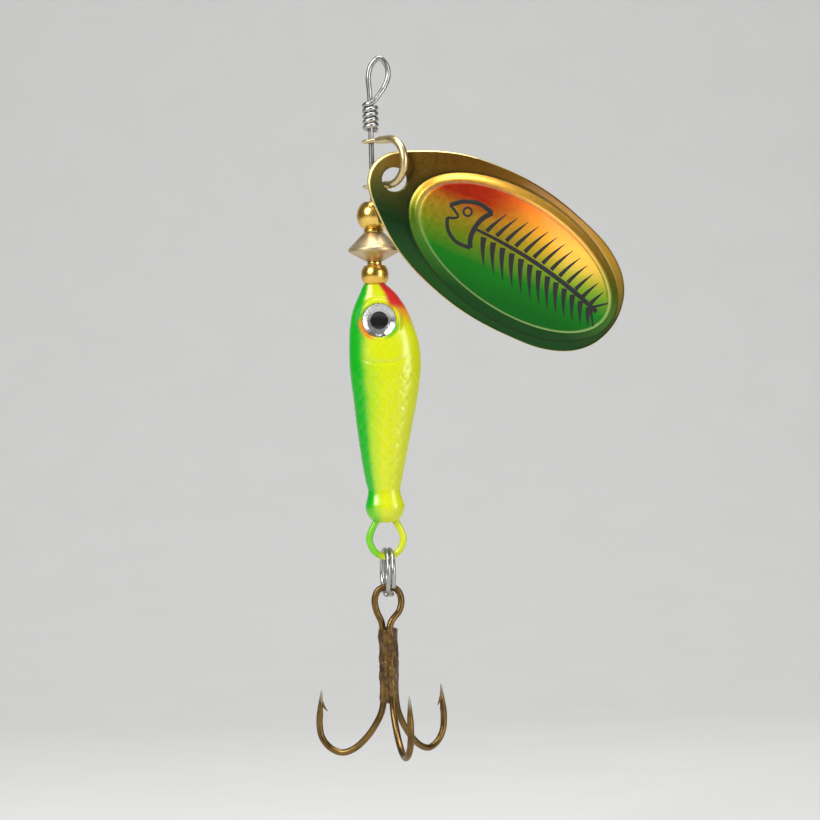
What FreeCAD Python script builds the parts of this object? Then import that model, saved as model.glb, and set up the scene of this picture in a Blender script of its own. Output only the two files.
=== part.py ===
"""Inline spinner, hanging from its line tie: parametric FreeCAD source.

Millimetres, +Z up along the straight shaft.  The origin is the inside top of
the line-tie loop; X runs to the right across the lure's flat side and Y runs
away from the viewer through its thickness.
"""
import FreeCAD, Part
import math
import os

V = FreeCAD.Vector
ROT = FreeCAD.Rotation
PLACE = FreeCAD.Placement

doc = FreeCAD.newDocument("inline_spinner")
sheet = doc.addObject("Spreadsheet::Sheet", "Sizes")

# ---------------------------------------------------------------- sizes ----
# name, value, what it is.  A value starting with "=" is worked out in the sheet.
SIZES = [
    ("wire_dia", 0.8, "through-wire diameter"),
    ("tie_half", 1.5, "line tie: half width of the loop on the wire centre"),
    ("tie_drop", 6.45, "line tie: top of loop to the first wrap"),
    ("wrap_gap", 0.03, "air between one wrap and the next, and to the shaft"),
    ("wrap_turns", 4.5, "turns of the closing wrap"),
    ("wrap_tail", 1.1, "cut end left sticking out of the last wrap"),
    ("stack_top", -21.15, "height of the top of the upper ball"),
    ("bead_fit", 0.05, "radial running clearance of a bead on the wire"),
    ("bead_gap", 0.06, "air between neighbours in the bead stack"),
    ("ball_dia", 5.0, "upper ball diameter"),
    ("ball_high", 4.1, "upper ball length between its flats"),
    ("washer_dia", 3.0, "upper washer diameter"),
    ("washer_high", 0.45, "upper washer thickness"),
    ("cone_dia", 7.8, "double cone widest diameter"),
    ("cone_top_dia", 3.1, "double cone diameter at its top face"),
    ("cone_low_dia", 2.4, "double cone diameter at its bottom face"),
    ("cone_upper", 2.35, "height of the upper cone"),
    ("cone_band", 0.45, "height of the rim between the cones"),
    ("cone_lower", 1.45, "height of the lower cone"),
    ("shim_dia", 2.25, "lower washer diameter"),
    ("shim_high", 0.5, "lower washer thickness"),
    ("pearl_dia", 4.2, "lower ball diameter"),
    ("pearl_high", 2.8, "lower ball length between its flats"),
    ("cast_top", "=stack_top - ball_high - washer_high - cone_upper - cone_band"
     " - cone_lower - shim_high - pearl_high - 5 * bead_gap",
     "height of the casting's flat nose"),
    ("cast_long", 31.0, "casting from nose to waist"),
    ("cast_wide", 10.8, "casting widest across X"),
    ("cast_thick", 6.4, "casting thickest across Y"),
    ("knob_wide", 5.9, "tail knob across X"),
    ("knob_thick", 4.4, "tail knob across Y"),
    ("knob_high", 4.6, "tail knob along Z"),
    ("knob_gap", 0.2, "top of the knob below the waist"),
    ("eye_drop", 5.45, "casting nose down to the eye centre"),
    ("eye_side", 0.48, "eye centre from the shaft line"),
    ("eye_dia", 5.0, "eye disc diameter"),
    ("eye_wall", 0.55, "socket wall round the eye"),
    ("eye_proud", 2.85, "socket rim from the middle plane"),
    ("eye_deep", 0.62, "socket depth"),
    ("foil_thick", 0.15, "silver disc thickness"),
    ("pupil_dia", 2.6, "pupil diameter"),
    ("pupil_thick", 0.12, "pupil thickness"),
    ("glaze_rise", 0.35, "epoxy dome above the socket rim"),
    ("tail_side", 0.62, "tail eye centre from the shaft line"),
    ("tail_low", -74.4, "tail eye: wire centre at its lowest point"),
    ("tail_rad", 2.55, "tail eye: radius of the wire centre"),
    ("clevis_dia", 1.2, "clevis wire diameter"),
    ("clevis_bend", 3.4, "clevis bend radius on the wire centre"),
    ("clevis_arm", 3.95, "clevis arm from the shaft to the bend"),
    ("clevis_mid", -15.45, "height of the clevis middle"),
    ("clevis_turn", 48.4, "clevis turned toward the viewer, degrees"),
    ("tab_dia", 3.0, "clevis tab diameter"),
    ("tab_thick", 0.7, "clevis tab thickness"),
    ("tab_fit", 0.08, "radial clearance of a tab on the shaft"),
    ("blade_long", 43.8, "blade length"),
    ("blade_wide", 22.0, "blade width"),
    ("blade_thick", 0.6, "blade sheet thickness"),
    ("blade_bow_long", 60.0, "cup radius along the blade"),
    ("blade_bow_wide", 30.0, "cup radius across the blade"),
    ("hole_dia", 3.6, "hole in the blade"),
    ("hole_edge", 3.8, "hole centre from the blade's pointed end"),
    ("relief_step", 0.2, "height of each of the two stamped steps"),
    ("relief_long", 36.0, "outer stamped oval length"),
    ("relief_wide", 18.8, "outer stamped oval width"),
    ("relief_band", 1.25, "width of the band between the two ovals"),
    ("relief_mid", 21.4, "oval centre from the hole centre"),
    ("blade_dip", 34.2, "blade below level, degrees"),
    ("blade_lean", 8.0, "blade's free end away from the viewer, degrees"),
    ("blade_x", 3.3, "hole centre X"),
    ("blade_y", -3.7, "hole centre Y"),
    ("blade_z", -18.15, "hole centre Z"),
    ("ring_dia", 7.45, "split ring outside diameter"),
    ("ring_wire", 0.75, "split ring wire"),
    ("ring_gap", 0.03, "air between the ring's two coils"),
    ("ring_hang", 0.25, "air between the ring and the tail eye"),
    ("ring_yaw", 9.0, "split ring yaw, degrees"),
    ("hook_wire", 1.0, "hook wire"),
    ("hook_hang", 0.32, "air between the hook eye and the ring"),
    ("hook_eye_rad", 1.98, "hook eye: radius of the wire centre"),
    ("hook_side", 0.6, "hook shank line from the shaft line"),
    ("shank_long", 15.3, "hook eye centre to the start of the bends"),
    ("shank_off", 1.05, "each shank from the middle of the three"),
    ("bend_reach", 10.3, "bend: shank middle to the widest point"),
    ("bend_drop", 7.7, "bend: start of the bend to its lowest point"),
    ("point_rise", 9.5, "bend bottom up to the point"),
    ("point_long", 2.8, "length of the tapered point"),
    ("barb_long", 1.6, "barb length"),
    ("barb_high", 0.55, "barb height off the wire"),
    ("hook_front", -75.0, "azimuth of the front hook, degrees"),
    ("braze_long", 11.2, "length of the brazed joint"),
    ("braze_rad", 1.2, "radius of the brazed joint"),
]
for row, (name, value, note) in enumerate(SIZES, start=1):
    sheet.set("A%d" % row, name)
    sheet.set("B%d" % row, value if isinstance(value, str) else repr(value))
    sheet.set("C%d" % row, note)
    sheet.setAlias("B%d" % row, name)
doc.recompute()


def size(name):
    """Value of one named cell as a plain float."""
    value = getattr(sheet, name)
    return float(getattr(value, "Value", value))


# -------------------------------------------------------------- helpers ----
def bind(obj, **links):
    """Tie properties of obj to sheet expressions; '__' stands for a dot."""
    for prop, text in links.items():
        words = text
        for name, _value, _note in sorted(SIZES, key=lambda item: -len(item[0])):
            words = substitute(words, name)
        obj.setExpression(prop.replace("__", "."), words)
    return obj


def substitute(text, name):
    """Put 'Sizes.' in front of each whole-word use of name."""
    out, i = "", 0
    while i < len(text):
        hit = text.startswith(name, i)
        before = i == 0 or not (text[i - 1].isalnum() or text[i - 1] in "_.")
        end = i + len(name)
        after = end >= len(text) or not (text[end].isalnum() or text[end] == "_")
        if hit and before and after:
            out, i = out + "Sizes." + name, end
        else:
            out, i = out + text[i], i + 1
    return out


def feature(kind, name, **links):
    """Add a Part feature and bind its properties."""
    return bind(doc.addObject(kind, name), **links)


def cut(name, base, tool):
    """Base minus tool, as a live boolean."""
    obj = doc.addObject("Part::Cut", name)
    obj.Base, obj.Tool = base, tool
    return obj


def fuse(name, items):
    """All items joined, as a live boolean."""
    obj = doc.addObject("Part::MultiFuse", name)
    obj.Shapes = items
    return obj


def shaped(name, shape, place=None):
    """A feature whose shape is worked out in code from the sheet."""
    obj = doc.addObject("Part::Feature", name)
    obj.Shape = shape
    if place is not None:
        obj.Placement = place
    return obj


def spline(points, start=None, end=None):
    """Smooth curve through points, with end directions when given."""
    curve = Part.BSplineCurve()
    if start is not None:
        curve.interpolate(Points=points, InitialTangent=start, FinalTangent=end)
    else:
        curve.interpolate(points)
    return curve.toShape()


def rod(edges, radius):
    """Round wire swept along tangent edges."""
    path = Part.Wire(edges)
    first = edges[0]
    at = first.valueAt(first.FirstParameter)
    way = first.tangentAt(first.FirstParameter)
    ring = Part.Wire([Part.makeCircle(radius, at, way)])
    return path.makePipeShell([ring], True, False)


JOINT_AIR = 0.03


def joint(at, radius):
    """Small ball over the joint of two wire lengths, so that no two walls coincide."""
    return Part.makeSphere(radius * 1.04, at)


def straight(low, high, radius):
    """Straight upright wire that stops just short of both joints."""
    return Part.makeCylinder(radius, high.z - low.z - 2 * JOINT_AIR, low + V(0, 0, JOINT_AIR))


def joined(shapes):
    """Fuse to one clean solid."""
    body = shapes[0].fuse(shapes[1:])
    return body.removeSplitter() if len(body.Solids) == 1 else body


# ---------------------------------------------------------- shaft wire -----
def tie_shape():
    """Line-tie loop, its wraps and the cut end, down to the straight shaft."""
    r = size("wire_dia") / 2
    around = 2 * r + size("wrap_gap")
    pitch = 2 * r + size("wrap_gap")
    turns = size("wrap_turns")
    top_z, drop, half = r, size("tie_drop"), size("tie_half")
    mid_x = half - r * 0.4
    low_z = -drop - pitch * turns
    first = -90 - 360 * turns
    helix = Part.makeHelix(pitch, pitch * turns, around)
    helix.rotate(V(0, 0, 0), V(0, 0, 1), first)
    helix.translate(V(0, 0, low_z))
    coil = rod(helix.Edges, r)
    a = math.radians(first)
    start = V(around * math.cos(a), around * math.sin(a), low_z)
    outward = V(math.sin(a), -math.cos(a), -pitch / (2 * math.pi * around))
    outward.normalize()
    tail = Part.makeCylinder(r, size("wrap_tail"), start, outward)
    lead = V(1, 0, pitch / (2 * math.pi * around))
    lead.normalize()
    head = V(0, -around, -drop)
    loop = [
        head, V(around * 1.0, -around * 0.86, -drop + 0.62),
        V(around * 1.5, -around * 0.62, -drop + 1.35),
        V(mid_x + half * 0.62, -around * 0.3, -drop * 0.62),
        V(mid_x + half * 0.98, 0, -drop * 0.34),
        V(mid_x + half * 0.78, 0, -drop * 0.12),
        V(mid_x, 0, top_z),
        V(mid_x - half * 0.72, 0, -drop * 0.13),
        V(-r * 0.42, 0, -drop * 0.36),
        V(-r * 0.22, 0, -drop * 0.66),
        V(0, 0, -drop * 0.92),
    ]
    foot = loop[-1]
    bend = rod([spline(loop)], r)
    return [coil, tail, bend, joint(start, r), joint(head, r), joint(foot, r)], foot


def tail_points():
    """Wire centre from the foot of the straight shaft round the tail eye."""
    x0, low, rad = size("tail_side"), size("tail_low"), size("tail_rad")
    mid = low + rad
    near = size("wire_dia") / 2 + 0.05
    right = [
        V(x0 + near, 0, mid + rad * 2.35),
        V(x0 + near, 0, mid + rad * 1.85),
        V(x0 + rad * 0.55, 0, mid + rad * 1.12),
        V(x0 + rad * 0.86, 0, mid + rad * 0.55),
        V(x0 + rad, 0, mid + rad * 0.05),
        V(x0 + rad * 0.78, 0, mid - rad * 0.6),
        V(x0 + rad * 0.36, 0, mid - rad * 0.93),
    ]
    left = [V(2 * x0 - p.x, 0, p.z) for p in right]
    return left[1:], V(x0, 0, low), right[::-1]


def shaft_shape():
    """Whole through-wire as one solid."""
    r = size("wire_dia") / 2
    tie, top = tie_shape()
    left, bottom, right = tail_points()
    foot = size("cast_top") - size("cast_long") * 0.88
    head = V(0, 0, foot)
    path = [head, V(left[0].x * 0.35, 0, (foot + left[0].z) / 2)] + left + [bottom] + right
    tail = rod([spline(path, V(0, 0, -1), V(0, 0, 1))], r)
    shank = Part.makeCylinder(r, top.z - foot - JOINT_AIR, head)
    return joined([shank, tail] + tie)


shaft = shaped("shaft_wire", shaft_shape())

# ---------------------------------------------------------- bead stack -----
BORE = "wire_dia / 2 + bead_fit"


def ball(name, dia, high, top):
    """Drilled ball with flats, top face at the given height."""
    solid = feature("Part::Sphere", name + "_ball", Radius=dia + " / 2",
                    Angle1="-asin(%s / %s)" % (high, dia),
                    Angle2="asin(%s / %s)" % (high, dia),
                    Placement__Base__z="%s - %s / 2" % (top, high))
    bore = feature("Part::Cylinder", name + "_bore", Radius=BORE, Height=high + " + 2",
                   Placement__Base__z="%s - %s - 1" % (top, high))
    return cut(name, solid, bore)


def disc(name, dia, high, top):
    """Flat washer, top face at the given height."""
    solid = feature("Part::Cylinder", name + "_disc", Radius=dia + " / 2", Height=high,
                    Placement__Base__z="%s - %s" % (top, high))
    bore = feature("Part::Cylinder", name + "_bore", Radius=BORE, Height=high + " + 2",
                   Placement__Base__z="%s - %s - 1" % (top, high))
    return cut(name, solid, bore)


def double_cone(name, top):
    """Two cones with a rim between them, drilled through."""
    upper = feature("Part::Cone", name + "_upper", Radius1="cone_dia / 2",
                    Radius2="cone_top_dia / 2", Height="cone_upper",
                    Placement__Base__z="%s - cone_upper" % top)
    band = feature("Part::Cylinder", name + "_band", Radius="cone_dia / 2",
                   Height="cone_band",
                   Placement__Base__z="%s - cone_upper - cone_band" % top)
    lower = feature("Part::Cone", name + "_lower", Radius1="cone_low_dia / 2",
                    Radius2="cone_dia / 2", Height="cone_lower",
                    Placement__Base__z="%s - cone_upper - cone_band - cone_lower" % top)
    bore = feature("Part::Cylinder", name + "_bore", Radius=BORE,
                   Height="cone_upper + cone_band + cone_lower + 2",
                   Placement__Base__z="%s - cone_upper - cone_band - cone_lower - 1" % top)
    return cut(name, fuse(name + "_body", [upper, band, lower]), bore)


BALL_TOP = "stack_top"
WASHER_TOP = "stack_top - ball_high - bead_gap"
CONE_TOP = WASHER_TOP + " - washer_high - bead_gap"
SHIM_TOP = CONE_TOP + " - cone_upper - cone_band - cone_lower - bead_gap"
PEARL_TOP = SHIM_TOP + " - shim_high - bead_gap"
beads = [
    ball("upper_ball", "ball_dia", "ball_high", BALL_TOP),
    disc("upper_washer", "washer_dia", "washer_high", WASHER_TOP),
    double_cone("double_cone", CONE_TOP),
    disc("lower_washer", "shim_dia", "shim_high", SHIM_TOP),
    ball("lower_ball", "pearl_dia", "pearl_high", PEARL_TOP),
]

# ------------------------------------------------------------- casting -----
# station: share of the length, half width, centre shift and half thickness as
# shares of the widest half width / thickest half thickness
STATIONS = [
    (0.000, 0.340, -0.056, 0.50),
    (0.075, 0.630, 0.083, 0.72),
    (0.205, 0.885, 0.157, 0.90),
    (0.370, 1.000, 0.222, 1.00),
    (0.620, 0.880, 0.176, 0.90),
    (0.850, 0.611, 0.106, 0.70),
    (1.000, 0.430, 0.106, 0.58),
]
sections = []
for index, (along, half, shift, thick) in enumerate(STATIONS):
    sections.append(feature(
        "Part::Ellipse", "cast_section_%d" % index,
        MajorRadius="cast_wide / 2 * %g" % half, MinorRadius="cast_thick / 2 * %g" % thick,
        Placement__Base__x="cast_wide / 2 * %g" % shift,
        Placement__Base__z="cast_top - cast_long * %g" % along))
trunk = doc.addObject("Part::Loft", "cast_trunk")
trunk.Sections = sections
trunk.Solid, trunk.Ruled = True, False
knob = feature("Part::Ellipsoid", "cast_knob", Radius1="knob_high / 2",
               Radius2="knob_wide / 2", Radius3="knob_thick / 2",
               Placement__Base__x="tail_side - 0.05",
               Placement__Base__z="cast_top - cast_long - knob_high / 2 - knob_gap")
collar = feature("Part::Cylinder", "cast_collar", Radius="knob_thick / 2 * 0.8",
                 Height="knob_high * 0.6", Placement__Base__x="tail_side - 0.05",
                 Placement__Base__z="cast_top - cast_long - knob_high * 0.4")
boss = feature("Part::Cylinder", "eye_boss", Radius="eye_dia / 2 + eye_wall",
               Height="2 * eye_proud", Placement__Base__x="eye_side",
               Placement__Base__y="eye_proud",
               Placement__Base__z="cast_top - eye_drop")
boss.Placement.Rotation = ROT(V(1, 0, 0), 90)
casting_blank = fuse("casting_blank", [trunk, collar, knob, boss])
sockets = []
for side, sign in (("front", -1), ("back", 1)):
    socket = feature("Part::Cylinder", "eye_socket_" + side, Radius="eye_dia / 2 + 0.02",
                     Height="eye_deep + 1", Placement__Base__x="eye_side",
                     Placement__Base__y="%d * (eye_proud - eye_deep)" % sign,
                     Placement__Base__z="cast_top - eye_drop")
    socket.Placement.Rotation = ROT(V(1, 0, 0), 90 if sign < 0 else -90)
    sockets.append(socket)
hollowed = cut("casting_hollowed", casting_blank, fuse("eye_sockets", sockets))
casting = cut("body_casting", hollowed, shaft)

# ---------------------------------------------------------------- eyes -----
eyes = []
for side, sign in (("front", -1), ("back", 1)):
    turn = ROT(V(1, 0, 0), 90 if sign < 0 else -90)
    foil = feature("Part::Cylinder", "eye_foil_" + side, Radius="eye_dia / 2",
                   Height="foil_thick", Placement__Base__x="eye_side",
                   Placement__Base__y="%d * (eye_proud - eye_deep)" % sign,
                   Placement__Base__z="cast_top - eye_drop")
    foil.Placement.Rotation = turn
    pupil = feature("Part::Cylinder", "eye_pupil_" + side, Radius="pupil_dia / 2",
                    Height="pupil_thick", Placement__Base__x="eye_side",
                    Placement__Base__y="%d * (eye_proud - eye_deep + foil_thick)" % sign,
                    Placement__Base__z="cast_top - eye_drop")
    pupil.Placement.Rotation = turn
    slab = feature("Part::Cylinder", "eye_slab_" + side, Radius="eye_dia / 2",
                   Height="eye_deep - foil_thick", Placement__Base__x="eye_side",
                   Placement__Base__y="%d * (eye_proud - eye_deep + foil_thick)" % sign,
                   Placement__Base__z="cast_top - eye_drop")
    slab.Placement.Rotation = turn
    # dome: cap of a sphere through the rim, rising glaze_rise
    dome_rad = "((eye_dia / 2) ^ 2 + glaze_rise ^ 2) / (2 * glaze_rise)"
    dome = feature("Part::Sphere", "eye_dome_" + side, Radius=dome_rad,
                   Placement__Base__x="eye_side",
                   Placement__Base__y="%d * (eye_proud + glaze_rise - %s)" % (sign, dome_rad),
                   Placement__Base__z="cast_top - eye_drop")
    keep = feature("Part::Cylinder", "eye_keep_" + side, Radius="eye_dia / 2",
                   Height="glaze_rise + 1", Placement__Base__x="eye_side",
                   Placement__Base__y="%d * eye_proud" % sign,
                   Placement__Base__z="cast_top - eye_drop")
    keep.Placement.Rotation = turn
    cap = doc.addObject("Part::Common", "eye_cap_" + side)
    cap.Base, cap.Tool = dome, keep
    lens = cut("eye_lens_" + side, fuse("eye_glaze_" + side, [slab, cap]), pupil)
    eyes += [foil, pupil, lens]


# -------------------------------------------------------------- clevis -----
def clevis_shape():
    """Bent wire with a flat drilled tab at each end, in its own XZ plane."""
    r, bend, arm = size("clevis_dia") / 2, size("clevis_bend"), size("clevis_arm")
    inner = size("tab_dia") / 2 - 0.35
    path = [
        Part.makeLine(V(inner, 0, bend), V(arm, 0, bend)),
        Part.Arc(V(arm, 0, bend), V(arm + bend, 0, 0), V(arm, 0, -bend)).toShape(),
        Part.makeLine(V(arm, 0, -bend), V(inner, 0, -bend)),
    ]
    pieces = [rod(path, r)]
    thick = size("tab_thick")
    for z in (bend, -bend):
        pieces.append(Part.makeCylinder(size("tab_dia") / 2, thick, V(0, 0, z - thick / 2)))
        neck = Part.makeCone(r, thick / 2, 0.9, V(inner, 0, z), V(-1, 0, 0))
        pieces.append(neck)
    body = joined(pieces)
    bore = Part.makeCylinder(size("wire_dia") / 2 + size("tab_fit"), 2 * bend + 4,
                             V(0, 0, -bend - 2))
    return body.cut(bore)


clevis = shaped("clevis", clevis_shape(),
                PLACE(V(0, 0, size("clevis_mid")), ROT(V(0, 0, 1), -size("clevis_turn"))))


# --------------------------------------------------------------- blade -----
# outline: share of the length from the pointed end, share of the half width
OUTLINE = [(0.000, 0.0), (0.020, 0.240), (0.125, 0.565), (0.240, 0.800), (0.400, 0.955),
           (0.545, 1.0), (0.700, 0.945), (0.835, 0.830), (0.930, 0.620), (0.980, 0.360),
           (1.000, 0.0)]


def cupped(low, high):
    """Curved sheet between two heights over the outer face, larger than needed."""
    bow_long, bow_wide = size("blade_bow_long"), size("blade_bow_wide")
    reach = min(size("blade_wide") * 0.68, bow_wide * 0.8)
    arcs = []
    for height in (low, high):
        rad = bow_wide + height
        rise = math.sqrt(rad * rad - reach * reach)
        arcs.append((V(0, -reach, rise - bow_wide), V(0, 0, height), V(0, reach, rise - bow_wide)))
    lower, upper = arcs
    face = Part.Face(Part.Wire([
        Part.Arc(*lower).toShape(), Part.makeLine(lower[2], upper[2]),
        Part.Arc(*upper[::-1]).toShape(), Part.makeLine(upper[0], lower[0])]))
    half = math.degrees(math.asin(min(0.95, size("blade_long") * 0.62 / bow_long)))
    face.rotate(V(0, 0, -bow_long), V(0, 1, 0), -half)
    return face.revolve(V(0, 0, -bow_long), V(0, 1, 0), 2 * half)


def prism(wire, depth):
    """Straight prism through the sheet over a flat outline."""
    body = Part.Face(wire).extrude(V(0, 0, 2 * depth))
    body.translate(V(0, 0, -depth))
    return body


def oval(shrink):
    """Stamped oval outline, smaller by shrink all round; origin = sheet middle."""
    a, b = size("relief_long") / 2 - shrink, size("relief_wide") / 2 - shrink
    x = size("relief_mid") - (size("blade_long") / 2 - size("hole_edge"))
    return Part.Wire([Part.Ellipse(V(x + a, 0, 0), V(x, b, 0), V(x, 0, 0)).toShape()])


def blade_shape():
    """Cupped, stamped and drilled blade; origin at its middle on the outer face."""
    long, half = size("blade_long"), size("blade_wide") / 2
    side = [V(long * (t - 0.5), half * w, 0) for t, w in OUTLINE]
    other = [V(p.x, -p.y, 0) for p in side[-2:0:-1]]
    curve = Part.BSplineCurve()
    curve.interpolate(Points=side + other, PeriodicFlag=True)
    thick, step, deep = size("blade_thick"), size("relief_step"), size("blade_long")
    sheet_body = cupped(-thick, 0).common(prism(Part.Wire([curve.toShape()]), deep))
    for level, shrink in ((1, 0.0), (2, size("relief_band"))):
        raised = cupped((level - 1) * step, level * step).common(prism(oval(shrink), deep))
        sunk = cupped(-thick + (level - 1) * step, -thick + level * step)
        sunk = sunk.common(prism(oval(shrink + 0.5), deep))
        sheet_body = sheet_body.fuse(raised).cut(sunk)
    hole = Part.makeCylinder(size("hole_dia") / 2, 2 * deep,
                             V(size("hole_edge") - long / 2, 0, -deep))
    return sheet_body.cut(hole).removeSplitter()


def blade_place():
    """Where the blade hangs: hole centre on the clevis, dipped and leaning."""
    dip, lean = math.radians(size("blade_dip")), math.radians(size("blade_lean"))
    along = V(math.cos(dip), 0, -math.sin(dip))
    out = V(0, -1, 0)
    axis_x = along * math.cos(lean) - out * math.sin(lean)
    axis_z = out * math.cos(lean) + along * math.sin(lean)
    axis_y = axis_z.cross(axis_x)
    turn = ROT(axis_x, axis_y, axis_z, "XYZ")
    u = size("hole_edge") - size("blade_long") / 2
    bow = size("blade_bow_long")
    hole = V(u, 0, math.sqrt(bow * bow - u * u) - bow - size("blade_thick") / 2)
    at = V(size("blade_x"), size("blade_y"), size("blade_z"))
    return PLACE(at - turn.multVec(hole), turn)


blade = shaped("blade", blade_shape(), blade_place())


# ---------------------------------------------------------- split ring -----
def ring_mid():
    """Height of the split ring's middle."""
    inner = size("ring_dia") / 2 - size("ring_wire")
    return size("tail_low") + size("wire_dia") / 2 + size("ring_hang") - inner


def ring_shape():
    """Two turns of wire side by side with one cross-over; axis along X."""
    rad = (size("ring_dia") - size("ring_wire")) / 2
    off = (size("ring_wire") + size("ring_gap")) / 2
    points = []
    first, last, step = 24, 696, 12
    for angle in range(first, last + 1, step):
        share = min(1.0, max(-1.0, (angle - 360) / 20.0))
        x = off * math.sin(share * math.pi / 2)
        a = math.radians(angle)
        points.append(V(x, -rad * math.sin(a), rad * math.cos(a)))
    return rod([spline(points)], size("ring_wire") / 2)


ring = shaped("split_ring", ring_shape(),
              PLACE(V(size("tail_side") + 0.08, 0, ring_mid()),
                    ROT(V(0, 0, 1), size("ring_yaw")) * ROT(V(1, 0, 0), 70)))


# ---------------------------------------------------------- treble hook ----
def hook_eye_mid():
    """Height of the hook eye's middle."""
    ring_low = ring_mid() - size("ring_dia") / 2 + size("ring_wire")
    return ring_low + size("hook_hang") - size("hook_eye_rad") + size("hook_wire") / 2


def bend_line(azimuth):
    """Points of one shank and bend, top to the base of its point, from the middle."""
    a = math.radians(azimuth)
    off, reach, drop = size("shank_off"), size("bend_reach"), size("bend_drop")
    rise = size("point_rise") - size("point_long")
    z0 = -size("shank_long")
    flat = [
        (off, z0 + 3.0), (off, z0 + 1.5), (off + reach * 0.045, z0 - drop * 0.18),
        (off + reach * 0.155, z0 - drop * 0.49), (off + reach * 0.335, z0 - drop * 0.80),
        (off + reach * 0.60, z0 - drop), (off + reach * 0.855, z0 - drop * 0.89),
        (off + reach * 0.985, z0 - drop + rise * 0.40), (off + reach * 0.985, z0 - drop + rise * 0.72),
        (off + reach * 0.965, z0 - drop + rise),
    ]
    return [V(r * math.cos(a), r * math.sin(a), z) for r, z in flat]


def needle(points, azimuth):
    """Tapered point with its barb, set on the end of a bend."""
    r = size("hook_wire") / 2
    base, way = points[-1], points[-1] - points[-2]
    way.normalize()
    cone = Part.makeCone(r, r * 0.08, size("point_long"), base, way)
    a = math.radians(azimuth)
    inward = V(-math.cos(a), -math.sin(a), 0)
    tall, long = size("barb_high"), size("barb_long")
    at = base - way * 0.35
    side = way.cross(inward)
    side.normalize()
    tip = at + inward * (r + tall)
    up = base + way * (long - 0.35) + inward * (r * 0.42)
    foot = base + way * 0.35 + inward * (r * 0.55)
    half = side * (r * 0.5)
    outline = Part.makePolygon([tip - half, up - half, foot - half * 1.0 - inward * r * 0.5, tip - half])
    barb = Part.Face(outline).extrude(half * 2)
    return [cone, barb]


def double_hook_shape():
    """Two hooks and the eye bent from one wire; origin at the eye centre."""
    r, rad, off = size("hook_wire") / 2, size("hook_eye_rad"), size("shank_off")
    azimuths = (size("hook_front"), size("hook_front") + 240)
    front, left = (bend_line(azimuth) for azimuth in azimuths)
    fa, la = (math.radians(azimuth) for azimuth in azimuths)
    f_top = V(off * math.cos(fa), off * math.sin(fa), -rad * 1.75)
    l_top = V(off * math.cos(la), off * math.sin(la), -rad * 1.75)
    step = V(0, 0, -size("hook_wire") / 2)
    eye = [l_top + step, l_top, V(-rad * 0.66, l_top.y * 0.6, -rad * 1.0),
           V(-rad * 0.98, l_top.y * 0.2, -rad * 0.25),
           V(-rad * 0.80, 0, rad * 0.60), V(0, 0, rad), V(rad * 0.80, 0, rad * 0.60),
           V(rad * 0.98, f_top.y * 0.1, -rad * 0.25), V(rad * 0.74, f_top.y * 0.5, -rad * 1.0),
           f_top, f_top + step]
    pieces, joints = [rod([spline(eye)], r)], []
    for top, points, azimuth in ((f_top, front, azimuths[0]), (l_top, left, azimuths[1])):
        pieces.append(straight(points[0], top + step, r))
        joints += [joint(points[0], r), joint(top + step, r)]
        pieces.append(rod([spline(points, V(0, 0, -1), points[-1] - points[-2])], r))
        pieces += needle(points, azimuth)
    return joined(pieces + joints)


def single_hook_shape():
    """The third hook, a plain shank brazed against the other two."""
    azimuth = size("hook_front") + 120
    points = bend_line(azimuth)
    r, top = size("hook_wire") / 2, -size("hook_eye_rad") * 1.75 - 1.4
    shank = straight(points[0], V(0, 0, top), r)
    bend = rod([spline(points, V(0, 0, -1), points[-1] - points[-2])], r)
    return joined([shank, bend, joint(points[0], r)] + needle(points, azimuth))


hook_place = PLACE(V(size("hook_side"), 0, hook_eye_mid()), ROT())
double_hook = shaped("double_hook", double_hook_shape(), hook_place)
single_hook = shaped("single_hook", single_hook_shape(), hook_place)


def braze_shape():
    """Solder filling the grooves between the three shanks."""
    rad, long = size("braze_rad"), size("braze_long")
    top = -size("hook_eye_rad") * 1.75 - 1.0
    core = Part.makeCylinder(rad, long - 0.8, V(0, 0, top - long + 0.4))
    ends = [Part.makeCone(rad * 0.6, rad, 0.4, V(0, 0, top - long)),
            Part.makeCone(rad, rad * 0.6, 0.4, V(0, 0, top - 0.4))]
    body = joined([core] + ends)
    body = body.cut([double_hook_shape(), single_hook_shape()])
    solids = sorted(body.Solids, key=lambda solid: solid.Volume)
    return solids[-1]


braze = shaped("braze", braze_shape(), hook_place)

doc.recompute()

NODES = [shaft, clevis, blade] + beads + [casting] + eyes + [ring, double_hook, single_hook, braze]
problems = []
for obj in doc.Objects:
    if any(flag in ("Invalid", "Error") for flag in obj.State):
        problems.append("%s: %s" % (obj.Name, obj.State))
for obj in NODES:
    obj.Label = obj.Name
    shape = obj.Shape
    solids = 0 if shape.isNull() else len(shape.Solids)
    if solids != 1 or not shape.isValid():
        problems.append("%s: %d solids, or not valid" % (obj.Name, solids))
if problems:
    raise RuntimeError("; ".join(problems))

os.makedirs("parts", exist_ok=True)
for obj in NODES:
    obj.Shape.exportStep("parts/%s.step" % obj.Name)
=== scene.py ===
"""Inline spinner: blade, beads, painted minnow casting, split ring and treble hook."""
from __future__ import annotations

import logging
import math
from dataclasses import dataclass, field
from enum import Enum
from functools import cache
from typing import Callable, Sequence

import bmesh
import bpy
import numpy as np
from mathutils import Matrix, Vector, noise


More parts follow.
